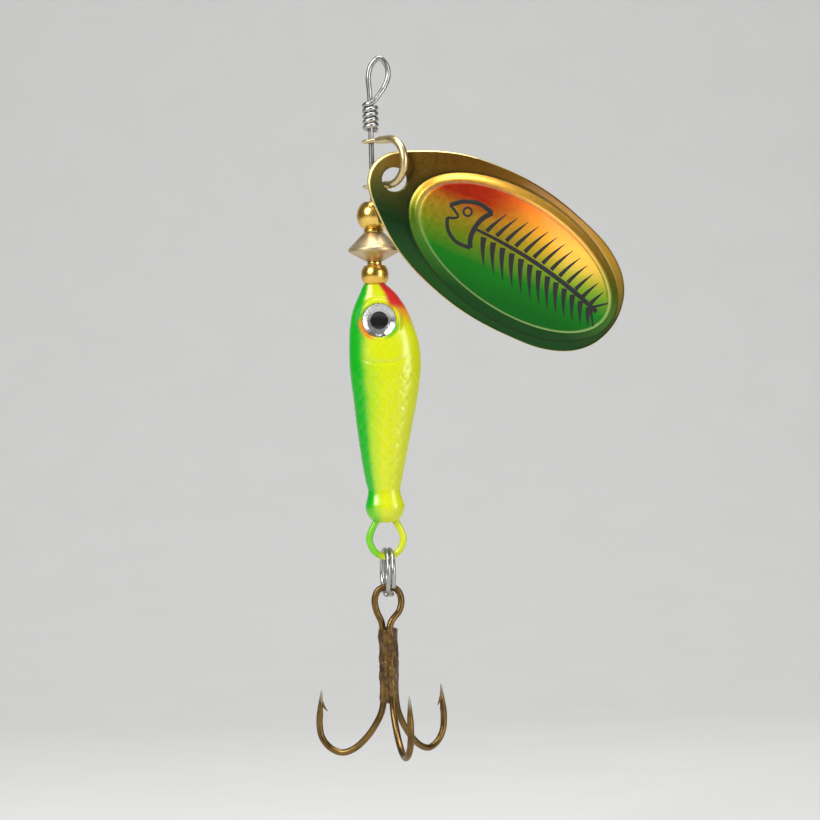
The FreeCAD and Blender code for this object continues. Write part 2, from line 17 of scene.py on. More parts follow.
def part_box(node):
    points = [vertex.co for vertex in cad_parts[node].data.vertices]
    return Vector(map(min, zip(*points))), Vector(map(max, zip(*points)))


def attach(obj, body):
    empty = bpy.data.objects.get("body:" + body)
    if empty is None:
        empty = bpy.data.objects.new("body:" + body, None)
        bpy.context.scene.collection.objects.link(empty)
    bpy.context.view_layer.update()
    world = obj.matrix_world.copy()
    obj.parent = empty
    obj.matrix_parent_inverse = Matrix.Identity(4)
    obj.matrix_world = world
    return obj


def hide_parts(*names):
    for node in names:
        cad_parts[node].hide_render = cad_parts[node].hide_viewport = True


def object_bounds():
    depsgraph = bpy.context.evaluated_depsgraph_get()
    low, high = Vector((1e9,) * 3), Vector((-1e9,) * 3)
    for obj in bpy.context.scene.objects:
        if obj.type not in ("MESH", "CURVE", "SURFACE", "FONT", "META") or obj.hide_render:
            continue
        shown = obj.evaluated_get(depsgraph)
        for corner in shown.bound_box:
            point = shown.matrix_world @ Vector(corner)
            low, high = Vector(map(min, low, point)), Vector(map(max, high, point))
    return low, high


LOG = logging.getLogger("spinner")
MM = 0.001
Rgb = tuple[float, float, float]
Place = Callable[[float, float], Vector]
Stops = tuple[tuple[float, Rgb], ...]
Flat = list[tuple[float, float]]
Stroke = tuple[Flat, list[float]]
EYE_AT = (0.48, -39.0)      # middle of the eye: across and height, in millimetres
EYE_RADIUS = 2.5
TREBLE_SIDE = 0.6           # how far the treble hangs beside the shaft's line
PLAN_SPAN = 50.0            # millimetres of the blade's plan that one unit of its map holds
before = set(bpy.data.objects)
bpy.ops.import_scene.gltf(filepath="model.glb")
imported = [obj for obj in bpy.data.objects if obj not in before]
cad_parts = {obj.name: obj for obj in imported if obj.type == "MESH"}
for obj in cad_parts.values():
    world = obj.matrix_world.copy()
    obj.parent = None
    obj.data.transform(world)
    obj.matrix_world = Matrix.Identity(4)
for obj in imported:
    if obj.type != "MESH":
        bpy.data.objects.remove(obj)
CAD_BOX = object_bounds()


# ------------------------------------------------------------------ curves
def smooth(edge0: float, edge1: float, value: float) -> float:
    """Smooth step from 0 at edge0 to 1 at edge1."""
    t = min(1.0, max(0.0, (value - edge0) / (edge1 - edge0)))
    return t * t * (3 - 2 * t)


def through(points: Sequence[Sequence[float]], count: int, closed: bool = False) -> np.ndarray:
    """Smooth curve through points, evenly divided by arc length.

    Args:
        points: the points the curve passes through.
        count: number of points to return.
        closed: True where the last point joins the first.

    Returns:
        Array of count rows.
    """
    pts = np.asarray(points, float)
    ring = np.vstack([pts[-1], pts, pts[0], pts[1]]) if closed else np.vstack(
        [2 * pts[0] - pts[1], pts, 2 * pts[-1] - pts[-2]])
    fine = []
    for i in range(1, len(ring) - 2):
        p0, p1, p2, p3 = ring[i - 1:i + 3]
        k0, k1, k2 = (max(1e-9, np.linalg.norm(b - a)) ** 0.5
                      for a, b in ((p0, p1), (p1, p2), (p2, p3)))
        m1 = ((p1 - p0) / k0 - (p2 - p0) / (k0 + k1) + (p2 - p1) / k1) * k1
        m2 = ((p2 - p1) / k1 - (p3 - p1) / (k1 + k2) + (p3 - p2) / k2) * k1
        for t in np.linspace(0, 1, 24, endpoint=False):
            t2, t3 = t * t, t * t * t
            fine.append((2 * t3 - 3 * t2 + 1) * p1 + (t3 - 2 * t2 + t) * m1
                        + (3 * t2 - 2 * t3) * p2 + (t3 - t2) * m2)
    fine.append(ring[-2])
    fine = np.array(fine)
    walk = np.concatenate([[0], np.cumsum(np.linalg.norm(np.diff(fine, axis=0), axis=1))])
    at = np.linspace(0, walk[-1], count, endpoint=not closed)
    return np.stack([np.interp(at, walk, fine[:, k]) for k in range(fine.shape[1])], axis=1)


# ------------------------------------------------------------------ meshes
def finish_mesh(bm: bmesh.types.BMesh, name: str, merge: float = 1e-7) -> bpy.types.Object:
    """Merge doubles, turn the faces outward, smooth the shading and link the piece."""
    bmesh.ops.remove_doubles(bm, verts=bm.verts, dist=merge)
    bmesh.ops.recalc_face_normals(bm, faces=bm.faces)
    for face in bm.faces:
        face.smooth = True
    mesh = bpy.data.meshes.new(name)
    bm.to_mesh(mesh)
    bm.free()
    piece = bpy.data.objects.new(name, mesh)
    bpy.context.scene.collection.objects.link(piece)
    return piece


def lattice(name: str, across: int, along: int, place: Place, uv: bool = True) -> bpy.types.Object:
    """A grid bent into a closed skin.

    Args:
        name: name of the piece.
        across: faces in the direction of the first share.
        along: faces in the direction of the second share.
        place: gives the point, in millimetres, for two shares from 0 to 1.
        uv: True to keep the two shares as the piece's UV map.

    Returns:
        The new object.
    """
    bm = bmesh.new()
    bmesh.ops.create_grid(bm, x_segments=across, y_segments=along, size=0.5)
    if uv:
        layer = bm.loops.layers.uv.new("skin")
        for face in bm.faces:
            for loop in face.loops:
                loop[layer].uv = (loop.vert.co.x + 0.5, loop.vert.co.y + 0.5)
    for vert in bm.verts:
        vert.co = place(vert.co.x + 0.5, vert.co.y + 0.5) * MM
    return finish_mesh(bm, name)


def lathe(name: str, profile: Sequence[tuple[float, float]], round_off: float) -> bpy.types.Object:
    """A turned piece: a closed profile of (radius, height) spun about the shaft.

    Args:
        name: name of the piece.
        profile: closed outline in millimetres, in order.
        round_off: radius of the rounding on the profile's corners.

    Returns:
        The new object.
    """
    bm = bmesh.new()
    verts = [bm.verts.new((r * MM, 0, z * MM)) for r, z in profile]
    edges = [bm.edges.new((a, b)) for a, b in zip(verts, verts[1:] + verts[:1])]
    if round_off:
        sharp = [v for v in verts if v.calc_edge_angle(0) > math.radians(18)]
        bmesh.ops.bevel(bm, geom=sharp, offset=round_off * MM, offset_type="OFFSET",
                        segments=3, profile=0.5, affect="VERTICES", material=-1)
    bmesh.ops.spin(bm, geom=bm.verts[:] + bm.edges[:], cent=(0, 0, 0), axis=(0, 0, 1),
                   angle=math.tau, steps=128, use_merge=True)
    return finish_mesh(bm, name)


def tube(name: str, line: np.ndarray, radius: Callable[[float], float] | float,
         sides: int = 20) -> bpy.types.Object:
    """A round wire along a line of points in millimetres, closed at both ends."""
    line = np.asarray(line, float)
    tangents = np.gradient(line, axis=0)
    tangents /= np.linalg.norm(tangents, axis=1)[:, None]
    normal = np.cross(tangents[0], (0.3, 0.9, 0.2))
    frames = []
    for t in tangents:
        normal = normal - t * normal.dot(t)
        normal /= np.linalg.norm(normal)
        frames.append((normal.copy(), np.cross(t, normal)))
    size = radius if callable(radius) else (lambda share: radius)
    last = len(line) - 1

    def place(s: float, t: float) -> Vector:
        k = t * last
        i = min(last - 1, int(k))
        f = k - i
        centre = line[i] * (1 - f) + line[i + 1] * f
        n = frames[i][0] * (1 - f) + frames[i + 1][0] * f
        b = frames[i][1] * (1 - f) + frames[i + 1][1] * f
        r = size(t) if 0 < t < 1 else 0.0
        a = math.tau * s
        return Vector(centre + (n * math.cos(a) + b * math.sin(a)) * r)

    return lattice(name, sides, last, place)


def drill_out(piece: bpy.types.Object, radius: float, depth: float, place: Matrix, sides: int) -> None:
    """Drill a round hole.

    Args:
        piece: what is drilled.
        radius: the hole's radius, in millimetres.
        depth: the drill's length, in millimetres.
        place: where the drill's middle is, with its axis along Z.
        sides: sides of the hole.
    """
    bm = bmesh.new()
    bmesh.ops.create_cone(bm, cap_ends=True, segments=sides, radius1=radius * MM,
                          radius2=radius * MM, depth=depth * MM)
    bmesh.ops.transform(bm, verts=bm.verts, matrix=place)
    drill = finish_mesh(bm, "drill")
    cut = piece.modifiers.new("hole", "BOOLEAN")
    cut.operation, cut.object, cut.solver = "DIFFERENCE", drill, "EXACT"
    mesh = bpy.data.meshes.new_from_object(piece.evaluated_get(
        bpy.context.evaluated_depsgraph_get()))
    piece.modifiers.clear()
    piece.data = mesh
    bpy.data.objects.remove(drill)


# --------------------------------------------------------------- node tools
class Tree:
    """Short names for building one material's or one group's nodes."""

    def __init__(self, tree: bpy.types.NodeTree) -> None:
        self.tree = tree

    def add(self, kind: str, **values: object) -> bpy.types.Node:
        """Add a node and set its properties."""
        node = self.tree.nodes.new(kind)
        for key, value in values.items():
            setattr(node, key, value)
        return node

    def link(self, source: object, target: bpy.types.NodeSocket) -> None:
        """Join a node's first output, or an output socket, to an input."""
        out = source.outputs[0] if isinstance(source, bpy.types.Node) else source
        self.tree.links.new(out, target)

    def math(self, kind: str, a: object, b: object = 0.0) -> bpy.types.Node:
        """A Math node on two numbers or sockets."""
        node = self.add("ShaderNodeMath", operation=kind)
        for socket, value in zip(node.inputs, (a, b)):
            if isinstance(value, (int, float)):
                socket.default_value = value
            else:
                self.link(value, socket)
        return node

    def ramp(self, value: object, low: float, high: float, to: tuple[float, float] = (0, 1),
             soft: bool = True) -> bpy.types.Node:
        """Map a value from low..high to the given range, clamped."""
        node = self.add("ShaderNodeMapRange")
        node.interpolation_type = "SMOOTHSTEP" if soft else "LINEAR"
        for index, number in ((1, low), (2, high), (3, to[0]), (4, to[1])):
            node.inputs[index].default_value = number
        self.link(value, node.inputs[0])
        return node

    def mix(self, mask: object, a: object, b: object, blend: str = "MIX") -> bpy.types.NodeSocket:
        """Mix two colours by a mask; a and b are colours or sockets."""
        node = self.add("ShaderNodeMix", data_type="RGBA", blend_type=blend)
        for socket, value in ((node.inputs[0], mask), (node.inputs[6], a), (node.inputs[7], b)):
            if isinstance(value, (int, float)):
                socket.default_value = value
            elif isinstance(value, tuple):
                socket.default_value = (*value[:3], 1.0)
            else:
                self.link(value, socket)
        return node.outputs[2]

    def noise(self, vector: object, scale: float, detail: float = 3.0,
              rough: float = 0.55) -> bpy.types.Node:
        """A noise texture on the given coordinates."""
        node = self.add("ShaderNodeTexNoise")
        self.settle(node, Scale=scale, Detail=detail, Roughness=rough)
        self.link(vector, node.inputs["Vector"])
        return node

    def times(self, a: object, b: object) -> bpy.types.Node:
        """The product of two numbers or sockets."""
        return self.math("MULTIPLY", a, b)

    def length(self, a: object, b: object) -> bpy.types.Node:
        """The length of a vector given by its two parts."""
        return self.math("SQRT", self.math("ADD", self.times(a, a), self.times(b, b)))

    def tint(self, colour: object, shade: object) -> bpy.types.NodeSocket:
        """A colour darkened or lightened by a grey level."""
        return self.mix(1.0, colour, shade, "MULTIPLY")

    def here(self) -> bpy.types.NodeSocket:
        """The piece's own Object coordinates."""
        return self.add("ShaderNodeTexCoord").outputs["Object"]

    def parts(self, vector: object) -> Sequence[bpy.types.NodeSocket]:
        """The three parts of a vector."""
        split = self.add("ShaderNodeSeparateXYZ")
        self.link(vector, split.inputs[0])
        return split.outputs

    def mask(self, attribute: str) -> bpy.types.NodeSocket:
        """A number stored on the mesh."""
        return self.add("ShaderNodeAttribute", attribute_name=attribute).outputs["Fac"]

    def dye(self, shader: bpy.types.Node, colour: object, rough: object) -> None:
        """Feed a shader its colour and its roughness."""
        self.link(colour, shader.inputs["Base Color"])
        self.link(rough, shader.inputs["Roughness"])

    @staticmethod
    def settle(shader: bpy.types.Node, **values: float) -> None:
        """Set a shader's plain inputs; an underscore stands for a space."""
        for name, value in values.items():
            shader.inputs[name.replace("_", " ")].default_value = value


@cache
def tarnish_group() -> bpy.types.NodeTree:
    """Patchy darkening, fine grain and hairline marks shared by the bare metals."""
    group = bpy.data.node_groups.new("metal_wear", "ShaderNodeTree")
    face = group.interface
    face.new_socket("Vector", in_out="INPUT", socket_type="NodeSocketVector")
    for name, value in (("Patch size", 300.0), ("Grain size", 4000.0), ("Draw", 30.0)):
        socket = face.new_socket(name, in_out="INPUT", socket_type="NodeSocketFloat")
        socket.default_value = value
    for name in ("Patch", "Grain", "Lines"):
        face.new_socket(name, in_out="OUTPUT", socket_type="NodeSocketFloat")
    t = Tree(group)
    source, sink = t.add("NodeGroupInput"), t.add("NodeGroupOutput")
    patch = t.noise(source.outputs["Vector"], 1.0, 4.0, 0.6)
    t.link(source.outputs["Patch size"], patch.inputs["Scale"])
    grain = t.noise(source.outputs["Vector"], 1.0, 2.0, 0.6)
    t.link(source.outputs["Grain size"], grain.inputs["Scale"])
    stretch = t.add("ShaderNodeCombineXYZ")
    for socket, pull in zip(stretch.inputs, (100.0, 100.0, 6.0)):
        t.link(t.times(source.outputs["Draw"], pull), socket)
    pulled = t.add("ShaderNodeVectorMath", operation="MULTIPLY")
    t.link(source.outputs["Vector"], pulled.inputs[0])
    t.link(stretch, pulled.inputs[1])
    lines = t.noise(pulled, 1.0, 3.0, 0.5)
    t.link(t.ramp(patch, 0.35, 0.7), sink.inputs["Patch"])
    t.link(grain, sink.inputs["Grain"])
    t.link(lines, sink.inputs["Lines"])
    return group


def new_material(name: str) -> tuple[bpy.types.Material, Tree, bpy.types.Node]:
    """An empty material with its Principled shader linked to the output."""
    material = bpy.data.materials.new(name)
    material.use_nodes = True
    material.node_tree.nodes.clear()
    tree = Tree(material.node_tree)
    shader = tree.add("ShaderNodeBsdfPrincipled")
    out = tree.add("ShaderNodeOutputMaterial")
    tree.link(shader, out.inputs["Surface"])
    return material, tree, shader


def wear_nodes(tree: Tree, patch: float, grain: float, draw: float) -> bpy.types.Node:
    """Place the wear group on Object coordinates."""
    node = tree.add("ShaderNodeGroup")
    node.node_tree = tarnish_group()
    tree.link(tree.here(), node.inputs["Vector"])
    for name, value in (("Patch size", patch), ("Grain size", grain), ("Draw", draw)):
        node.inputs[name].default_value = value
    return node


def bump(tree: Tree, height: object, shader: bpy.types.Node, distance: float,
         after: bpy.types.Node | None = None) -> bpy.types.Node:
    """Bump a height, in metres of distance, into the shader's normal."""
    node = tree.add("ShaderNodeBump")
    tree.settle(node, Strength=1.0, Distance=distance)
    tree.link(height, node.inputs["Height"])
    if after is not None:
        tree.link(after, node.inputs["Normal"])
    tree.link(node, shader.inputs["Normal"])
    return node


@dataclass(frozen=True)
class MetalFinish:
    """A bare or plated metal with patches, grain and drawing lines."""

    name: str
    colour: Rgb
    dull: Rgb
    rough: tuple[float, float]
    patch: float = 260.0
    grain: float = 5000.0
    draw: float = 30.0
    grain_depth: float = 0.000004
    line_depth: float = 0.000003
    coat: float = 0.0
    bright_points: bool = False

    def build(self) -> bpy.types.Material:
        """Make the material."""
        material, t, shader = new_material(self.name)
        wear = wear_nodes(t, self.patch, self.grain, self.draw)
        colour = t.mix(wear.outputs["Patch"], self.colour, self.dull)
        speck = t.ramp(wear.outputs["Grain"], 0.30, 0.75, (0.86, 1.08))
        colour = t.tint(colour, speck)
        rough = t.ramp(wear.outputs["Lines"], 0.25, 0.8, self.rough)
        if self.bright_points:
            colour = t.mix(t.times(self.point_mask(t), 0.7), colour, (0.50, 0.49, 0.42))
        t.dye(shader, colour, rough)
        t.settle(shader, Metallic=1.0, Coat_Weight=self.coat, Coat_Roughness=0.12)
        first = bump(t, wear.outputs["Lines"], shader, self.line_depth)
        bump(t, wear.outputs["Grain"], shader, self.grain_depth, first)
        return material

    @staticmethod
    def point_mask(t: Tree) -> bpy.types.Node:
        """1 on the outer hook points, where the plating is rubbed bright."""
        x, y, z = t.parts(t.here())
        radius = t.length(t.math("SUBTRACT", x, TREBLE_SIDE * MM), y)
        return t.times(t.ramp(radius, 0.0088, 0.0098), t.ramp(z, -0.0968, -0.0945))


class Metal(Enum):
    """The bare metals on the lure."""

    STAINLESS = MetalFinish("stainless_wire", (0.50, 0.495, 0.48), (0.36, 0.35, 0.33), (0.24, 0.38),
                            grain_depth=0.0000012, line_depth=0.0000008)
    BEAD = MetalFinish("bead_brass", (0.93, 0.62, 0.15), (0.84, 0.50, 0.09), (0.20, 0.30),
                       patch=400, line_depth=0.000001, grain_depth=0.000001)
    CONE = MetalFinish("cone_brass", (0.66, 0.53, 0.32), (0.50, 0.36, 0.19), (0.40, 0.56),
                       patch=350, draw=4, line_depth=0.000006)
    CLEVIS = MetalFinish("clevis_brass", (0.80, 0.66, 0.38), (0.64, 0.47, 0.22), (0.30, 0.44),
                         grain_depth=0.000002, line_depth=0.000002)
    HOOK = MetalFinish("bronzed_hook", (0.23, 0.135, 0.035), (0.11, 0.060, 0.018), (0.28, 0.48),
                       patch=350, grain_depth=0.000012, coat=0.2, bright_points=True)
    BRAZE = MetalFinish("bronzed_braze", (0.24, 0.135, 0.045), (0.09, 0.05, 0.02), (0.34, 0.6),
                        patch=700, grain=2600, grain_depth=0.00011, coat=0.2)

    @cache
    def material(self) -> bpy.types.Material:
        """The metal's material, built once."""
        return self.value.build()


def seat(piece: bpy.types.Object, material: bpy.types.Material, body: str, slot: str,
         *nodes: str) -> None:
    """Dress a piece and ride it on a body.

    Args:
        piece: the piece.
        material: what it is made of.
        body: the body it moves with.
        slot: not used.
        nodes: the CAD nodes that it stands for.
    """
    piece.data.materials.append(material)
    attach(piece, body)
    if nodes:
        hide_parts(*nodes)
    LOG.info("%s rides on %s", piece.name, body)


# ------------------------------------------------------------------- blade
@dataclass(frozen=True)
class LacquerFinish:
    """Clear coloured lacquer over bright metal: red and amber above, green below."""

    name: str = "blade_lacquer"
    red: Rgb = (0.56, 0.030, 0.006)
    # pale colour painted along the blade's edge as a highlight
    rim: Rgb = (0.80, 0.66, 0.26)
    # colour of each zone at rising levels, in millimetres above the blade's middle
    field: Stops = (
        (-7.5, (0.000, 0.130, 0.004)), (-3.6, (0.004, 0.215, 0.005)), (-0.9, (0.17, 0.30, 0.012)),
        (1.3, (0.42, 0.32, 0.016)), (4.0, (0.66, 0.30, 0.020)), (7.0, (0.76, 0.17, 0.012)))
    shoulder: Stops = (
        (-8.5, (0.004, 0.060, 0.004)), (-4.0, (0.04, 0.17, 0.008)), (0.0, (0.15, 0.23, 0.012)),
        (4.0, (0.46, 0.27, 0.025)), (8.0, (0.72, 0.38, 0.05)))
    # flange stops: the lacquer's tint darkened further by painted dark reflection, darkest near the hole
    flange_near: Stops = (
        (-7.0, (0.010, 0.070, 0.006)), (-2.5, (0.005, 0.036, 0.006)), (1.5, (0.050, 0.050, 0.006)),
        (5.0, (0.12, 0.070, 0.006)), (9.0, (0.17, 0.075, 0.005)))
    flange_far: Stops = (
        (-9.0, (0.006, 0.060, 0.006)), (-5.0, (0.030, 0.060, 0.006)), (0.0, (0.17, 0.12, 0.012)),
        (5.0, (0.30, 0.16, 0.014)), (10.0, (0.24, 0.11, 0.008)))

    @staticmethod
    def fade(t: Tree, level: object, stops: Stops) -> object:
        """Blend from one stop's colour to the next as the level rises."""
        colour: object = stops[0][1]
        for (low, _), (high, tone) in zip(stops, stops[1:]):
            colour = t.mix(t.ramp(level, low, high, soft=False), colour, tone)
        return colour

    def build(self) -> bpy.types.Material:
        """Make the material; the piece's map is its plan over PLAN_SPAN."""
        material, t, shader = new_material(self.name)
        plan = t.add("ShaderNodeUVMap", uv_map="plan")
        u, v = (t.times(part, PLAN_SPAN) for part in t.parts(plan)[:2])
        here = t.here()
        wobble = t.noise(here, 110.0, 3.0)
        shift = t.ramp(wobble, 0.2, 0.8, (-0.6, 0.6), soft=False)
        up = t.math("ADD", v, shift)
        # the fade runs nearly level across the hanging blade
        level = t.math("SUBTRACT", t.times(up, 0.984), t.times(u, 0.177))
        field = self.fade(t, level, self.field)
        warm = t.times(t.ramp(level, 2.2, 5.6), t.ramp(u, 2.5, -6.0))
        field = t.mix(warm, field, self.red)
        band = self.fade(t, level, self.shoulder)
        # flange colour: lacquer tint with painted dark reflection
        flange = t.mix(t.ramp(u, -4.0, 12.0), self.fade(t, level, self.flange_near),
                       self.fade(t, level, self.flange_far))
        ring = t.mask("zone")
        colour = t.mix(t.ramp(ring, 1.10, 0.98), band, field)
        colour = t.mix(t.ramp(ring, 1.88, 2.02), colour, flange)
        # painted highlight: a thin bright line along the raised field's edge
        line = t.times(t.ramp(ring, 0.965, 0.985),
                      t.ramp(ring, 1.03, 1.0))
        colour = t.mix(t.times(line, 0.28), colour, (0.75, 0.80, 0.35))
        # painted shade: dark line in the groove at the foot of the band
        foot = t.times(t.ramp(ring, 1.86, 1.97),
                      t.ramp(ring, 2.10, 2.0))
        colour = t.mix(t.times(foot, 0.75), colour, (0.012, 0.022, 0.004))
        # painted highlight: pale brass along the blade's rounded edge
        colour = t.mix(t.ramp(ring, 2.925, 2.965), colour, self.rim)
        mottled = t.noise(here, 1500.0, 4.0, 0.65)
        shade = t.ramp(mottled, 0.3, 0.75, (0.94, 1.04))
        t.dye(shader, t.tint(colour, shade), t.ramp(mottled, 0.3, 0.8, (0.36, 0.46)))
        t.settle(shader, Metallic=0.85, Coat_Weight=0.2, Coat_Roughness=0.12)
        bump(t, t.noise(here, 1400.0, 2.0), shader, 0.000012)
        return material


@dataclass(frozen=True)
class InkFinish:
    """Black printing ink, slightly raised and worn thin in places."""

    name: str = "print_ink"

    def build(self) -> bpy.types.Material:
        """Make the material."""
        material, t, shader = new_material(self.name)
        thin = t.noise(t.here(), 1500.0, 3.0)
        colour = t.mix(t.ramp(thin, 0.55, 0.85), (0.003, 0.004, 0.002), (0.018, 0.016, 0.004))
        t.dye(shader, colour, t.ramp(thin, 0.3, 0.8, (0.55, 0.70)))
        bump(t, thin, shader, 0.000004)
        return material


@dataclass
class Blade:
    """The cupped blade: flange, stamped band, raised field, hole and print."""

    long: float = 43.8
    wide: float = 22.0
    thick: float = 0.6
    bow_long: float = 60.0
    bow_wide: float = 30.0
    hole: float = 3.6
    hole_edge: float = 3.8
    relief: float = 0.5
    oval_long: float = 36.0
    oval_wide: float = 19.4
    band: float = 1.25
    band_across: float = 1.6
    oval_mid: float = 21.4
    dip: float = 34.2
    lean: float = 8.0
    hang: Vector = field(default_factory=lambda: Vector((3.3, -3.7, -18.15)))
    outline: tuple[tuple[float, float], ...] = (
        (0.000, 0.0), (0.020, 0.240), (0.125, 0.565), (0.240, 0.800), (0.400, 0.955),
        (0.545, 1.0), (0.700, 0.945), (0.835, 0.830), (0.930, 0.620), (0.980, 0.360),
        (1.000, 0.0))
    turns: int = 256

    def __post_init__(self) -> None:
        """Work out the outline by angle and the blade's place."""
        side = [(self.long * (t - 0.5), self.wide / 2 * w) for t, w in self.outline]
        other = [(x, -y) for x, y in side[-2:0:-1]]
        self.mid = self.oval_mid + self.hole_edge - self.long / 2
        loop = through(side + other, 720, closed=True)
        angle = np.arctan2(loop[:, 1], loop[:, 0] - self.mid)
        reach = np.hypot(loop[:, 0] - self.mid, loop[:, 1])
        order = np.argsort(angle)
        self._angle = np.concatenate([angle[order] - math.tau, angle[order], angle[order] + math.tau])
        self._reach = np.tile(reach[order], 3)
        dip, lean = math.radians(self.dip), math.radians(self.lean)
        along, out = Vector((math.cos(dip), 0, -math.sin(dip))), Vector((0, -1, 0))
        axis_x = along * math.cos(lean) - out * math.sin(lean)
        axis_z = out * math.cos(lean) + along * math.sin(lean)
        self.turn = Matrix((axis_x, axis_z.cross(axis_x), axis_z)).transposed()
        u = self.hole_edge - self.long / 2
        centre = Vector((u, 0, self.cup(u, 0) - self.thick / 2))
        self.origin = self.hang - self.turn @ centre

    def cup(self, u: float, v: float) -> float:
        """Height of the plain cupped sheet."""
        inner = self.bow_long - self.bow_wide
        return math.sqrt((inner + math.sqrt(self.bow_wide ** 2 - v * v)) ** 2 - u * u) - self.bow_long

    def flat(self, turn: float, zone: float) -> tuple[float, float]:
        """Plan point for a turn and a zone: 0 centre, 1 field edge, 2 band edge, 3 rim."""
        a, b = self.oval_long / 2, self.oval_wide / 2
        angle = math.tau * turn
        outer = Vector((a * math.cos(angle), b * math.sin(angle)))
        inner = Vector(((a - self.band) * math.cos(angle), (b - self.band_across) * math.sin(angle)))
        if zone <= 1:
            point = inner * zone
        elif zone <= 2:
            point = inner.lerp(outer, zone - 1)
        else:
            way = math.atan2(outer.y, outer.x)
            reach = float(np.interp(way, self._angle, self._reach))
            rim = Vector((math.cos(way), math.sin(way))) * reach
            point = outer.lerp(rim, zone - 2)
        return point.x + self.mid, point.y

    def rise(self, zone: float) -> float:
        """Stamped height over the cup: full in the field, falling across the band."""
        if zone >= 2:
            return -0.05 * (1 - smooth(2.0, 2.2, zone))
        if zone >= 1:
            return self.relief * (1 - smooth(1.08, 1.95, zone)) - 0.05 * smooth(1.8, 2.0, zone)
        return self.relief - 0.07 * smooth(0.955, 0.985, zone) + 0.07 * smooth(0.985, 1.0, zone)

    def world(self, u: float, v: float, height: float) -> Vector:
        """A blade point in the lure's frame."""
        return self.turn @ Vector((u, v, height)) + self.origin

    def build(self) -> bpy.types.Object:
        """The blade as one closed sheet with a rounded rim and a drilled hole."""
        zones = list(np.linspace(0, 0.94, 22)) + list(np.linspace(0.95, 1.0, 7)) + list(
            np.linspace(1.06, 2.0, 16)) + list(np.linspace(2.05, 3.0, 20))
        rim = 5
        rows = [(z, 1.0) for z in zones] + [(3.0, math.cos(math.pi * k / rim)) for k in range(1, rim)]
        rows += [(z, -1.0) for z in reversed(zones)]
        half = self.thick / 2

        def place(s: float, t: float) -> Vector:
            zone, face = rows[round(t * (len(rows) - 1))]
            u, v = self.flat(s, zone)
            bulge = math.sqrt(max(0.0, 1 - face * face)) * half
            inset = half * smooth(2.9, 3.0, zone) * 0.9
            way = Vector((u - self.mid, v))
            if way.length > 0:
                way.normalize()
            u2, v2 = u + way.x * (bulge - inset), v + way.y * (bulge - inset)
            base = self.cup(u2, v2) - half + self.rise(zone)
            return self.world(u2, v2, base + half * face)

        piece = lattice("blade_plate", self.turns, len(rows) - 1, place, uv=False)
        self.drill(piece)
        self.map_plan(piece)
        return piece

    def drill(self, piece: bpy.types.Object) -> None:
        """Cut the hole square to the sheet."""
        u = self.hole_edge - self.long / 2
        place = Matrix.Translation(self.world(u, 0, self.cup(u, 0)) * MM) @ self.turn.to_4x4()
        drill_out(piece, self.hole / 2, 4, place, 72)

    def map_plan(self, piece: bpy.types.Object) -> None:
        """Write the plan map and the zone number, and keep the hole's wall flat shaded."""
        mesh = piece.data
        inverse = self.turn.transposed()
        plan = mesh.uv_layers.new(name="plan")
        zone = mesh.attributes.new("zone", "FLOAT", "POINT")
        flat = [inverse @ (v.co / MM - self.origin) for v in mesh.vertices]
        a, b = self.oval_long / 2, self.oval_wide / 2
        for i, p in enumerate(flat):
            x, y = p.x - self.mid, p.y
            outer = math.hypot(x / a, y / b)
            inner = math.hypot(x / (a - self.band), y / (b - self.band_across))
            if inner <= 1:
                value = inner
            elif outer <= 1:
                value = 1 + (inner - 1) / max(1e-6, (inner - 1) + (1 - outer) * a / (a - self.band))
            else:
                way = math.atan2(y, x)
                rim = float(np.interp(way, self._angle, self._reach))
                ring = math.hypot(x, y) / outer
                value = 2 + min(1.0, (math.hypot(x, y) - ring) / max(1e-6, rim - ring))
            zone.data[i].value = value
        for loop in mesh.loops:
            p = flat[loop.vertex_index]
            plan.data[loop.index].uv = (p.x / PLAN_SPAN, p.y / PLAN_SPAN)
        wall = self.hole / 2 + 0.03
        for polygon in mesh.polygons:
            centre = inverse @ (polygon.center / MM - self.origin)
            near_hole = math.hypot(centre.x - (self.hole_edge - self.long / 2), centre.y)
            polygon.use_smooth = near_hole > wall


